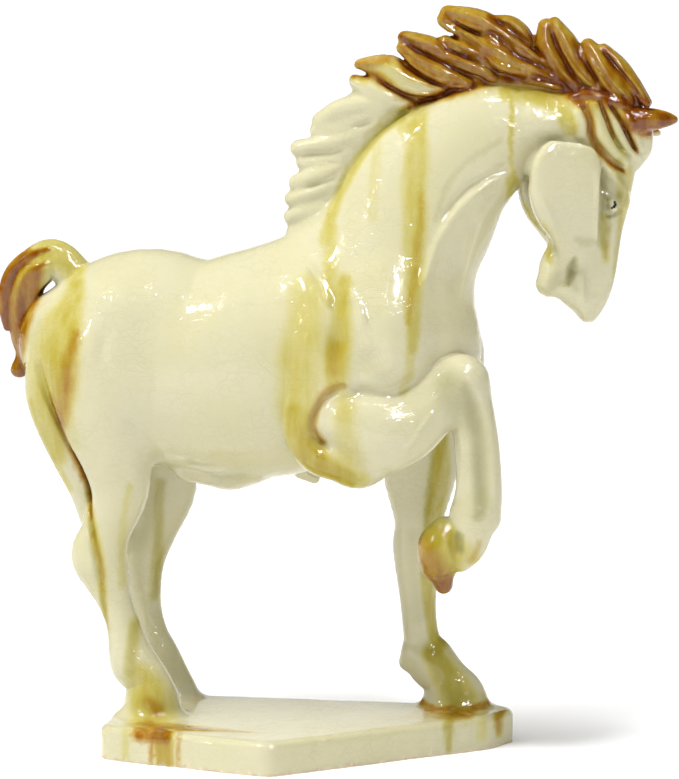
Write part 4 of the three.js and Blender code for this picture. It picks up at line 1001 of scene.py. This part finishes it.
def brush_legs():
    near = (NEAR_SIDE,)
    # Far hind leg and far foreleg, on the faces that show between the near legs, with olive painted shade
    # on them
    run_down_hind_leg = [(-219, 317, 6), (-227, 245, 6), (-231, 171, 7), (-240, 113, 7), (-243, 68, 8)]
    # Painted shade down the far hind leg
    brush("olive_tint_and_shade", run_down_hind_leg, 0.35, 0.8, near)
    brush("straw", run_down_hind_leg, 0.7, 0.8, near)
    brush("straw", [(-241, 331, 4), (-254, 258, 4), (-257, 185, 4)], 0.5, 0.8, near)
    brush("straw", [
        (184, 400, 8), (181, 360, 11), (177, 320, 12), (172, 280, 11), (166, 230, 9), (162, 180, 8),
        (168, 120, 9), (178, 90, 10),
    ], 1.3, 0.5, near, 0)
    # Painted shade on the far foreleg
    brush("olive_tint_and_shade", [
        (171, 396, 3), (168, 350, 3), (164, 300, 3), (157, 240, 3), (154, 190, 3),
    ], 0.35, 0.8, near, 0)
    brush("olive_tint_and_shade", [(141, 250, 8), (143, 210, 9), (150, 130, 9)], 0.2, 1.0, near, 0)
    # Hooves, and the glaze that ran from them over the plinth
    brush("straw", [(170, 80, 14), (192, 44, 19), (209, 11, 24)], 1.2)
    brush("olive_tint_and_shade", [(170, 80, 10), (192, 44, 15), (209, 11, 18)], 0.35)
    brush("amber", [(152, 5, 4), (187, 2, 4), (223, 3, 4), (252, 9, 4)], 1.1)
    run_over_edge = [(201, 24, 6), (203, -7, 6), (203, -39, 4)]
    brush("straw", run_over_edge, 0.9, 0.6, near)
    brush("olive_tint_and_shade", run_over_edge, 0.35, 0.6, near)
    brush("straw", [(264, 24, 7), (267, -3, 6), (267, -31, 4)], 1.3, 0.6, near)
    brush("amber", [(264, 14, 5), (267, -3, 5), (267, -27, 3)], 0.8, 0.6, near)
    brush("straw", [(245, 17, 6), (245, -30, 6)], 0.5, 0.6, near)
    brush("straw", [(-231, 60, 17), (-216, 27, 27), (-209, 7, 27)], 1.1)
    brush("amber", [(-218, 25, 7), (-204, 14, 8)], 0.8, 0.8)
    brush("amber", [(-216, -4, 8), (-196, -5, 10), (-176, -6, 8)], 1.9, 0.6)
    brush("straw", [(-176, -2, 13), (-175, -26, 13), (-175, -59, 11)], 1.7, 0.3, near)
    brush("amber", [(-176, -2, 12), (-175, -26, 11), (-175, -59, 9)], 0.5, 0.4, near)
    brush("amber", [(-193, -3, 3), (-195, -55, 3)], 1.0, 0.8, near)
    brush("amber", [(-154, -1, 3), (-155, -52, 3)], 1.0, 0.8, near)
    brush("straw", [(-234, -6, 6), (-235, -58, 4)], 0.5, 0.8, near)
    # The raised hoof, the hollow of its cannon and the knee, with painted shade on the knee, in the pit
    # above the hoof and down the hollow
    brush("straw", [(181, 278, 16), (199, 260, 24), (196, 225, 26), (200, 200, 16)], 1.8, 0.4, near)
    brush("amber", [(168, 254, 14), (176, 228, 20), (190, 210, 18)], 1.1, 0.8, near)
    # Painted shade on the knee
    brush("olive_tint_and_shade", [(206, 488, 14), (216, 466, 18), (232, 430, 15)], 0.5, 1.0, near)
    brush("amber", [(181, 202, 9), (196, 196, 14), (206, 203, 9)], 2.0, 0.5, near)
    # Painted shade in the pit between pastern and hoof
    brush("olive_tint_and_shade", [(221, 272, 6), (223, 253, 6)], 0.9, 0.6, near)
    brush("straw", [(222, 258, 12), (236, 246, 10), (244, 236, 7)], 0.7, 0.8, near)
    brush("amber", [(234, 234, 4), (245, 248, 4), (249, 263, 3)], 0.4, 0.8, near)
    # Painted shade down the cannon's hollow panel
    brush("olive_tint_and_shade", [
        (229, 481, 7), (239, 447, 9), (247, 406, 10), (251, 364, 10), (252, 323, 9), (248, 300, 7),
    ], 0.65, 0.9, near)
    # Painted shade under the belly
    brush("olive_tint_and_shade", [(-158, 363, 8), (-122, 342, 11), (-93, 343, 11)], 0.25, 0.8)


def brush_head():
    brush_face("straw", [
        (-116, -100, 5), (-108, -126, 7), (-88, -146, 7), (-71, -178, 6), (-62, -198, 5), (-62, -212, 3),
    ], 0.9, 0.7)
    # Painted shade in the fold that runs down from the mouth's corner
    brush_face("olive_tint_and_shade", [(-49, -230, 7), (-61, -251, 7)], 0.25, 0.8)
    # A straw line down the nose, with painted shade along it
    line_down_nose = [(30, -73, 5), (37, -128, 5), (37, -183, 5), (32, -252, 5)]
    brush_face("straw", line_down_nose, 0.6, 0.8)
    brush_face("olive_tint_and_shade", line_down_nose, 0.3, 0.8)
    brush_face("straw", [(48, -88, 6), (49, -171, 7), (40, -254, 8), (19, -295, 8)], 0.7, 0.8)
    # Painted shade under the brow
    brush_face("olive_tint_and_shade", [(9, -87, 5), (22, -100, 5), (37, -117, 5), (44, -132, 5)], 0.35, 0.8)
    brush_face("clear", [(24, -128, 8), (25, -139, 8)], 1.0, 0.3)
    # Painted shade round the eye socket
    brush_face("olive_tint_and_shade", [
        (5, -92, 3), (10, -107, 3), (14, -119, 3), (14, -134, 3), (15, -146, 4), (24, -151, 3),
        (33, -146, 2),
    ], 0.6, 0.9)
    # More painted shade in the eye socket
    brush_face("olive_tint_and_shade", [(6, -96, 3), (12, -110, 6), (15, -122, 6), (13, -136, 3)], 0.4, 1.0)
    # Painted shade in the groove below the eye
    brush_face("olive_tint_and_shade", [(13, -150, 6), (14, -166, 7), (15, -186, 5), (17, -206, 3)], 0.35, 1.0)
    brush_face("straw", [(14, -152, 5), (15, -180, 5), (18, -210, 4)], 0.9, 1.0)
    # Painted shade in the hollow below the cheek
    brush_face("olive_tint_and_shade", [(-27, -182, 5), (-14, -186, 6), (-1, -186, 5)], 0.35, 0.9)
    # Painted shade in the open corner of the mouth
    brush_face("olive_tint_and_shade", [(-28, -210, 3), (-31, -226, 7), (-36, -244, 3)], 1.3, 0.9)
    # Forelock: cream strands with brown between them, and an amber crown
    brush_face("straw", [(-22, 4, 7), (0, -20, 12), (18, -50, 14), (38, -74, 10)], 0.25, 0.7)
    brush_face("amber", [(-28, 16, 8), (-11, 18, 9), (8, 15, 9), (28, 9, 10), (48, 0, 12)], 1.9, 0.6)
    brush_face("amber", [
        (-24, 8, 7), (-17, -6, 6), (-12, -20, 5), (-10, -34, 4), (-5, -46, 4), (4, -60, 5), (14, -71, 4),
        (26, -80, 4), (40, -89, 2),
    ], 2.0, 0.9)
    brush_face("amber", [(4, 4, 6), (10, -12, 4), (15, -28, 3), (21, -42, 2)], 1.3, 0.9)
    brush_face("straw", [(15, -28, 3), (26, -50, 4), (38, -65, 3)], 1.2, 0.9)
    brush_face("amber", [
        (16, 3, 7), (26, -10, 5), (34, -22, 4), (42, -37, 4), (50, -52, 4), (58, -64, 2),
    ], 1.5, 0.9)
    brush_face("straw", [(40, -2, 14), (60, -18, 16), (90, -20, 14), (110, -22, 7)], 0.9, 0.4)
    brush_face("amber", [(44, -2, 12), (60, -16, 15), (90, -18, 13), (112, -20, 7)], 2.3, 0.4)
    brush_face("amber", [(50, -30, 8), (76, -36, 6), (93, -32, 6), (106, -26, 6)], 2.8, 0.9)
    brush_face("amber", [(40, 8, 5), (38, -10, 5), (42, -26, 5)], 1.8, 0.9)


def brush_mane_and_tail():
    brush("straw", [
        (59, 906, 12), (108, 900, 20), (156, 900, 34), (211, 920, 44), (266, 932, 50), (328, 921, 50),
        (390, 901, 44), (455, 871, 20),
    ], 1.0, 0.3)
    brush("amber", [
        (156, 916, 24), (211, 924, 38), (266, 934, 44), (328, 921, 44), (390, 901, 40), (455, 873, 18),
    ], 0.7, 0.25)
    for lock in MANE_LOCKS[1:]:
        brush("amber", [(ahead, up, half + 5) for ahead, up, half in lock], 0.75, 0.4)
        brush("amber", [(ahead, up - 0.1 * half, 0.4 * half) for ahead, up, half in lock], 1.2, 1.0)
        brush("straw", [(ahead, up, half + 5) for ahead, up, half in lock], 1.0, 0.4)
    brush("amber", [(60, 905, 8), (80, 918, 9), (110, 922, 7)], 1.0, 0.8)
    brush("clear", [(90, 888, 9), (112, 880, 11), (142, 876, 12), (177, 878, 8)], 0.85, 0.6)
    brush("clear", [(184, 888, 6), (225, 885, 6)], 0.6, 0.8)
    brush("clear", [(112, 906, 6), (140, 893, 7), (165, 884, 5)], 0.6, 0.8)
    for line in MANE_CREASES:
        brush("amber", [(ahead, up, 6) for ahead, up in line], 2.0, 1.0)
    brush("amber", [
        (140, 858, 4), (160, 866, 4), (198, 877, 5), (267, 896, 7), (336, 892, 7), (370, 878, 6),
        (404, 877, 6), (431, 868, 5), (472, 859, 5),
    ], 2.2, 0.9)
    brush("straw", [(129, 848, 5), (157, 862, 5), (198, 875, 6)], 1.2, 0.8)
    # Tail: yellow over its arch, amber and brown as it falls
    brush("straw", [(-322, 609, 11), (-346, 639, 20), (-369, 648, 18), (-387, 633, 15)], 1.1, 0.6)
    brush("straw", [(-387, 633, 22), (-412, 600, 26), (-420, 550, 24), (-418, 480, 20)], 1.5, 0.4)
    brush("amber", [
        (-372, 652, 3), (-398, 643, 5), (-422, 614, 7), (-430, 585, 10), (-433, 540, 10),
    ], 2.4, 0.8)
    brush("amber", [(-376, 632, 3), (-398, 618, 4), (-412, 586, 5), (-420, 545, 5)], 1.5, 0.9)
    brush("amber", [
        (-400, 650, 6), (-428, 622, 8), (-444, 585, 9), (-448, 540, 9), (-446, 500, 8),
    ], 1.8, 0.8)
    brush("amber", [
        (-388, 618, 12), (-400, 585, 15), (-412, 536, 16), (-418, 500, 14), (-421, 471, 14),
    ], 1.6, 0.7)


def wandering(places):
    """The places shifted a little, this way and that, so that a stroke's edge isn't even."""
    x, y, z = places.T
    shift = np.stack([
        np.sin(0.21 * z + 0.33 * y) + 0.4 * np.sin(0.9 * z - 0.6 * x),
        np.zeros(len(places)),
        np.sin(0.33 * x - 0.21 * y) + 0.4 * np.sin(1.1 * x + 0.5 * z),
    ], axis=1)
    return places + STROKE_WANDER * shift


def covered(places, outwards, rows, facing, soft):
    """How far each place lies within a stroke, from 0 to 1."""
    rows = smooth_path(rows) * SHARE
    nearest = np.full(len(places), FAR)
    level = np.zeros(len(places))
    for start, end in zip(rows[:-1], rows[1:]):
        axis = end[:3] - start[:3]
        run = axis - facing * np.dot(axis, facing)
        offset = places - start[:3]
        t = np.clip(offset @ run / max(np.dot(run, run), 1e-9), 0, 1)
        gap = offset - t[:, None] * axis
        out = gap @ facing
        aside = np.sqrt(np.maximum((gap * gap).sum(axis=1) - out * out, 0))
        aside /= start[3] + t * (end[3] - start[3])
        closer = aside < nearest
        nearest[closer] = aside[closer]
        level[closer] = out[closer]
    amount = np.clip((1 + soft - nearest) / (2 * soft), 0, 1)
    amount = amount * amount * (3 - 2 * amount)
    amount *= np.clip(2 - np.abs(level) / STROKE_DEPTH, 0, 1)
    return amount * np.clip((outwards @ facing + FACES_AWAY) / FADES_TURNING, 0, 1)


def paint_glaze(mesh, places, outwards):
    """How the glaze lies, as numbers kept at the mesh's corners."""
    brush_body()
    brush_legs()
    brush_head()
    brush_mane_and_tail()
    found = {name: np.zeros(len(places)) for name in COLOURINGS}
    shifted = wandering(places)
    for colour, rows, facing, density, soft in strokes:
        reach = rows[:, 3].max() * (1 + soft) + 3
        low = (rows.min(axis=0) - reach) * SHARE
        high = (rows.max(axis=0) + reach) * SHARE
        beside = (places[:, 0] > low[0]) & (places[:, 0] < high[0])
        chosen = np.nonzero(beside & (places[:, 2] > low[2]) & (places[:, 2] < high[2]))[0]
        amount = covered(shifted[chosen], outwards[chosen], rows, np.asarray(facing), soft) * density
        if colour == "clear":
            for name in COLOURINGS:
                found[name][chosen] *= 1 - amount
        else:
            before = found[colour][chosen]
            found[colour][chosen] = np.maximum(before, amount) + STROKE_OVERLAP * np.minimum(before, amount)
    for name, numbers in found.items():
        keep_numbers(mesh, name, numbers)
    crease = CREASE_REACH - distance_at(places + outwards * CREASE_REACH)
    swell = CREASE_REACH + distance_at(places - outwards * CREASE_REACH)
    keep_numbers(mesh, "crease", np.clip(crease, 0, 2))
    keep_numbers(mesh, "swell", np.clip(swell, 0, 2))
    bare = (BARE_RIM - PLINTH_THICKNESS - places[:, 2]) / BARE_FADE
    keep_numbers(mesh, "bare", np.clip(bare, 0, 1))


def keep_numbers(mesh, name, numbers):
    attribute = mesh.attributes.new(name, "FLOAT", "POINT")
    attribute.data.foreach_set("value", np.asarray(numbers, dtype=np.float32))


# How much of red, green and blue each colouring takes out of the light, for a density of 1
IVORY = (0.54, 0.508, 0.338)
STRAW_TAKES = (0.20, 0.28, 1.15)
AMBER_TAKES = (0.28, 0.64, 1.5)
# Olive is mostly painted shade, greying the ivory where shade falls
OLIVE_TINT_AND_SHADE_TAKES = (0.60, 0.60, 0.88)
MOST_BROWN = 4.0

# The way the mane's locks fall towards the head, and how long and thick its ridges are
STRAND_FALL = math.radians(32)
STRAND_SIZES = (0.008, 0.0042, 0.0042)

CLAY = (0.62, 0.50, 0.36)
PUPIL_INK = (0.012, 0.012, 0.014)

# How closely each unevenness of the glaze is packed: turns in a metre along x, y and z
MOTTLE = (230, 230, 80)
CLOUDS = (45, 45, 30)
RUNS = (260, 260, 45)
WIDE_CRAZE = (110, 110, 230)
FINE_CRAZE = (230, 230, 420)
CRAZE_PATCHES = (60, 60, 60)
CRAZE_DRIFT = (90, 90, 90)
GLAZE_WAVES = (75, 75, 75)
GLAZE_GRAIN = (420, 420, 420)

# How high the waves, the grain, the mane's hairs and the craze lines stand, in metres
WAVE_HEIGHT = 0.0012
GRAIN_HEIGHT = 0.0001
HAIR_HEIGHT = 0.0009
CRAZE_HEIGHT = 0.00006

# The pupils, painted as small commas: (ahead, up, radius)
PUPIL_DOTS = [(26, -131, 2.2), (27, -134, 2.8), (25, -137, 2.2), (22, -139, 1.6)]


class Shading:
    """A short way to build a material's nodes."""

    def __init__(self, material):
        material.use_nodes = True
        self.tree = material.node_tree
        self.shader = self.tree.nodes["Principled BSDF"]
        self.coordinates = self.tree.nodes.new("ShaderNodeTexCoord").outputs["Object"]

    def put(self, source, socket):
        if isinstance(source, bpy.types.NodeSocket):
            self.tree.links.new(source, socket)
        else:
            socket.default_value = source

    def number(self, name):
        node = self.tree.nodes.new("ShaderNodeAttribute")
        node.attribute_name = name
        return node.outputs["Fac"]

    def combine(self, operation, first, second=0.0, third=0.0):
        node = self.tree.nodes.new("ShaderNodeMath")
        node.operation = operation
        for source, socket in zip((first, second, third), node.inputs):
            self.put(source, socket)
        return node.outputs["Value"]

    def add(self, first, second):
        return self.combine("ADD", first, second)

    def times(self, first, second):
        return self.combine("MULTIPLY", first, second)

    def range(self, source, low, high, to_low=0.0, to_high=1.0):
        node = self.tree.nodes.new("ShaderNodeMapRange")
        node.interpolation_type = "SMOOTHSTEP"
        for value, socket in zip((source, low, high, to_low, to_high), node.inputs):
            self.put(value, socket)
        return node.outputs["Result"]

    def stretched(self, sizes, warp=None):
        node = self.tree.nodes.new("ShaderNodeVectorMath")
        node.operation = "MULTIPLY"
        self.put(self.coordinates, node.inputs[0])
        node.inputs[1].default_value = sizes
        if warp is None:
            return node.outputs["Vector"]
        moved = self.tree.nodes.new("ShaderNodeVectorMath")
        moved.operation = "ADD"
        self.put(node.outputs["Vector"], moved.inputs[0])
        self.put(warp, moved.inputs[1])
        return moved.outputs["Vector"]

    def noise(self, sizes, detail=3.0, rough=0.55):
        node = self.tree.nodes.new("ShaderNodeTexNoise")
        self.put(self.stretched(sizes), node.inputs["Vector"])
        node.inputs["Scale"].default_value = 1.0
        node.inputs["Detail"].default_value = detail
        node.inputs["Roughness"].default_value = rough
        return node.outputs

    def strands(self):
        """Uneven ridges that run the way the mane's locks lie."""
        turned = self.tree.nodes.new("ShaderNodeMapping")
        turned.vector_type = "TEXTURE"
        turned.inputs["Rotation"].default_value = (0, STRAND_FALL, 0)
        turned.inputs["Scale"].default_value = STRAND_SIZES
        self.put(self.coordinates, turned.inputs["Vector"])
        node = self.tree.nodes.new("ShaderNodeTexNoise")
        self.put(turned.outputs["Vector"], node.inputs["Vector"])
        node.inputs["Scale"].default_value = 1.0
        node.inputs["Detail"].default_value = 1.0
        return node.outputs["Fac"]

    def cracks(self, sizes, wander):
        """Fine lines between irregular cells, 1 on a line and 0 away from it."""
        drift = self.tree.nodes.new("ShaderNodeVectorMath")
        drift.operation = "SCALE"
        self.put(self.noise(CRAZE_DRIFT)["Color"], drift.inputs[0])
        drift.inputs["Scale"].default_value = wander
        cells = self.tree.nodes.new("ShaderNodeTexVoronoi")
        cells.feature = "DISTANCE_TO_EDGE"
        cells.inputs["Scale"].default_value = 1.0
        self.put(self.stretched(sizes, drift.outputs["Vector"]), cells.inputs["Vector"])
        return self.range(cells.outputs["Distance"], 0.0, 0.05, 1.0, 0.0)

    def mixed(self, amount, first, second):
        node = self.tree.nodes.new("ShaderNodeMix")
        node.data_type = "RGBA"
        self.put(amount, node.inputs["Factor"])
        for value, name in ((first, "A"), (second, "B")):
            socket = [s for s in node.inputs if s.name == name and s.type == "RGBA"][0]
            self.put(value if isinstance(value, bpy.types.NodeSocket) else (*value, 1), socket)
        return [s for s in node.outputs if s.type == "RGBA"][0]

    def bump(self, height, distance, strength, before=None):
        node = self.tree.nodes.new("ShaderNodeBump")
        node.inputs["Distance"].default_value = distance
        node.inputs["Strength"].default_value = strength
        self.put(height, node.inputs["Height"])
        if before is not None:
            self.put(before, node.inputs["Normal"])
        return node.outputs["Normal"]


def pupils(glaze):
    """The pupils' small dots, 1 in them and 0 elsewhere."""
    dots = 0.0
    for sign in (1, -1):
        places = laid_on(on_head([(ahead, 0, up) for ahead, up, _ in PUPIL_DOTS]), face_side(sign))
        for place, (_, _, size) in zip(places, PUPIL_DOTS):
            node = glaze.tree.nodes.new("ShaderNodeVectorMath")
            node.operation = "DISTANCE"
            glaze.put(glaze.coordinates, node.inputs[0])
            node.inputs[1].default_value = (place * SHARE - MIDDLE) * MM
            radius = size * SHARE * MM
            dot = glaze.range(node.outputs["Value"], radius * 0.8, radius * 1.2, 1.0, 0.0)
            dots = glaze.combine("MAXIMUM", dots, dot)
    return dots


def glaze_material():
    """Ivory body under a clear glaze, with the colourings thicker where they ran and pooled, and olive
    painted shade in hollows and creases.
    """
    material = bpy.data.materials.new("horse_glaze")
    glaze = Shading(material)
    crease = glaze.number("crease")
    swell = glaze.number("swell")
    amber = glaze.number("amber")
    bare = glaze.number("bare")
    mottle = glaze.noise(MOTTLE, 4.0)["Fac"]
    clouds = glaze.noise(CLOUDS)["Fac"]
    runs = glaze.noise(RUNS)["Fac"]
    craze = glaze.combine("MAXIMUM", glaze.cracks(WIDE_CRAZE, 0.9), glaze.cracks(FINE_CRAZE, 0.7))
    craze = glaze.times(craze, glaze.range(glaze.noise(CRAZE_PATCHES)["Fac"], 0.35, 0.62, 0.25, 1.0))

    # How deep each place lies in a crease: the brown glaze pools thicker there, and the olive paints shade
    # there
    pooling_and_crease_shade = glaze.range(crease, 0.15, 1.2)
    thinned = glaze.range(swell, 0.15, 1.3, 1.0, 0.6)
    straw = glaze.times(glaze.number("straw"), glaze.range(runs, 0.3, 0.7, 0.75, 1.25))
    straw = glaze.add(straw, glaze.range(clouds, 0.3, 0.7, 0.0, 0.09))
    brown = glaze.times(amber, glaze.range(mottle, 0.25, 0.75, 0.55, 1.55))
    brown = glaze.times(glaze.times(brown, thinned), glaze.add(1.0, glaze.times(pooling_and_crease_shade, 0.9)))
    brown = glaze.combine("MINIMUM", brown, MOST_BROWN)
    # Painted shade: the olive strokes, more of it in creases, and the craze lines greyed with it
    olive_tint_and_shade = glaze.add(glaze.number("olive_tint_and_shade"), glaze.times(pooling_and_crease_shade, 0.22))
    olive_tint_and_shade = glaze.add(olive_tint_and_shade, glaze.times(craze, 0.10))

    channels = []
    for body, straw_takes, amber_takes, tint_and_shade_takes in zip(IVORY, STRAW_TAKES, AMBER_TAKES, OLIVE_TINT_AND_SHADE_TAKES):
        taken = glaze.add(glaze.times(straw, straw_takes), glaze.times(brown, amber_takes))
        taken = glaze.add(taken, glaze.times(olive_tint_and_shade, tint_and_shade_takes))
        channels.append(glaze.times(glaze.combine("EXPONENT", glaze.times(taken, -1.0)), body))
    colour = glaze.tree.nodes.new("ShaderNodeCombineColor")
    for channel, socket in zip(channels, colour.inputs):
        glaze.put(channel, socket)
    shown = glaze.mixed(pupils(glaze), colour.outputs["Color"], PUPIL_INK)
    shown = glaze.mixed(bare, shown, CLAY)
    glaze.put(shown, glaze.shader.inputs["Base Color"])

    rough = glaze.add(glaze.range(mottle, 0.3, 0.7, 0.05, 0.10), glaze.times(craze, 0.10))
    rough = glaze.add(rough, glaze.times(bare, 0.7))
    glaze.put(rough, glaze.shader.inputs["Roughness"])
    waves = glaze.bump(glaze.noise(GLAZE_WAVES, 2.0)["Fac"], WAVE_HEIGHT, 0.16)
    ripple = glaze.bump(glaze.noise(GLAZE_GRAIN, 2.0)["Fac"], GRAIN_HEIGHT, 0.5, waves)
    hair = glaze.times(glaze.strands(), glaze.range(amber, 0.3, 1.2))
    ripple = glaze.bump(hair, HAIR_HEIGHT, 0.5, ripple)
    ripple = glaze.bump(glaze.times(craze, -1.0), CRAZE_HEIGHT, 0.6, ripple)
    glaze.put(ripple, glaze.shader.inputs["Normal"])
    return material


# The floor's half-width, in metres
FLOOR_HALF = 30.0


def make_floor():
    """A plain pale sheet of matt paper."""
    mesh = bpy.data.meshes.new("floor")
    half = FLOOR_HALF
    corners = [(-half, -half, 0), (half, -half, 0), (half, half, 0), (-half, half, 0)]
    mesh.from_pydata(corners, [], [(0, 1, 2, 3)])
    floor = bpy.data.objects.new("floor", mesh)
    bpy.context.scene.collection.objects.link(floor)
    material = bpy.data.materials.new("pale_floor")
    material.use_nodes = True
    shader = material.node_tree.nodes["Principled BSDF"]
    shader.inputs["Base Color"].default_value = (0.98, 0.98, 0.98, 1)
    shader.inputs["Roughness"].default_value = 1.0
    shader.inputs["Specular IOR Level"].default_value = 0.0
    mesh.materials.append(material)


# The camera, in millimetres in the figure's own frame
CAMERA_AIM = np.array([13.7, -11.9, 131.8])
CAMERA_AZIMUTH = math.radians(9.0)
CAMERA_ELEVATION = math.radians(7.5)
CAMERA_DISTANCE = 1300.0
CAMERA_LENS = 153.0


def aim_at(thing, target):
    """Turns a camera or light so that it looks at a point."""
    thing.rotation_euler = (target - thing.location).to_track_quat("-Z", "Y").to_euler()


def make_camera():
    back = np.array([
        math.sin(CAMERA_AZIMUTH) * math.cos(CAMERA_ELEVATION),
        -math.cos(CAMERA_AZIMUTH) * math.cos(CAMERA_ELEVATION),
        math.sin(CAMERA_ELEVATION),
    ])
    aim = (CAMERA_AIM - MIDDLE) * MM
    data = bpy.data.cameras.new("camera")
    data.lens = CAMERA_LENS
    data.sensor_width = 36.0
    camera = bpy.data.objects.new("camera", data)
    camera.location = Vector(aim + back * CAMERA_DISTANCE * MM)
    bpy.context.scene.collection.objects.link(camera)
    aim_at(camera, Vector(aim))
    bpy.context.scene.camera = camera


# The studio's lights, in metres and watts. The sun is a broad soft daylight from above.
BACKDROP_STRENGTH = 0.42
DAYLIGHT_STRENGTH = 2.52
DAYLIGHT_WIDTH = math.radians(35)
DAYLIGHT_FROM = (-0.5, -0.22, 1.0)
LIGHTS_AIM = (0, 0, 0.15)

# Lamps that light the form, and lamps that only show as glints: (name, place, size, power)
FORM_LAMPS = [
    ("overhead", (-0.35, -0.45, 1.25), (0.2, 0.2), 6),
    ("right", (0.45, -0.75, 1.15), (0.12, 0.20), 3.5),
]
FRONT_LAMP = ("front", (-0.9, -1.0, 0.75), (0.06, 0.14), 1.3)
GLINT_LAMPS = [
    ("window", (0.47, -1.0, 0.96), (0.07, 0.12), 9),
    ("high_window", (0.5, -0.68, 1.15), (0.07, 0.10), 7),
    ("glint_right", (0.54, -0.37, 1.29), (0.10, 0.10), 6),
    ("glint_left", (-0.6, -0.6, 1.1), (0.03, 0.10), 2.5),
    ("glint_top", (0.1, -0.5, 1.3), (0.05, 0.05), 2),
    ("pale_wall", (0.4, 2.5, 0.5), (3.2, 1.0), 9),
]


def add_light(lamp, diffuse=True, gloss=True):
    name, place, size, power = lamp
    data = bpy.data.lights.new(name, "AREA")
    data.shape = "RECTANGLE"
    data.size = size[0]
    data.size_y = size[1]
    data.energy = power
    light = bpy.data.objects.new(name, data)
    light.location = Vector(place)
    light.visible_camera = False
    light.visible_diffuse = diffuse
    light.visible_glossy = gloss
    bpy.context.scene.collection.objects.link(light)
    aim_at(light, Vector(LIGHTS_AIM))


def make_lights():
    """An even studio, broad soft daylight, and small lamps for the glaze's highlights."""
    scene = bpy.context.scene
    world = bpy.data.worlds.new("studio")
    world.use_nodes = True
    backdrop = world.node_tree.nodes["Background"]
    backdrop.inputs["Color"].default_value = (1, 1, 1, 1)
    backdrop.inputs["Strength"].default_value = BACKDROP_STRENGTH
    world.cycles_visibility.glossy = False
    scene.world = world
    data = bpy.data.lights.new("soft_daylight", "SUN")
    data.energy = DAYLIGHT_STRENGTH
    data.angle = DAYLIGHT_WIDTH
    daylight = bpy.data.objects.new("soft_daylight", data)
    daylight.location = Vector(DAYLIGHT_FROM)
    daylight.visible_glossy = False
    scene.collection.objects.link(daylight)
    aim_at(daylight, Vector((0, 0, 0)))
    for lamp in FORM_LAMPS:
        add_light(lamp, gloss=False)
    add_light(FRONT_LAMP)
    for lamp in GLINT_LAMPS:
        add_light(lamp, diffuse=False)
    scene.view_settings.view_transform = "Standard"


def main():
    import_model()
    horse = make_horse()
    horse.data.materials.append(glaze_material())
    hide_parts("horse")
    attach(horse, "root")
    make_floor()
    make_camera()
    make_lights()
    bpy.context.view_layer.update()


main()
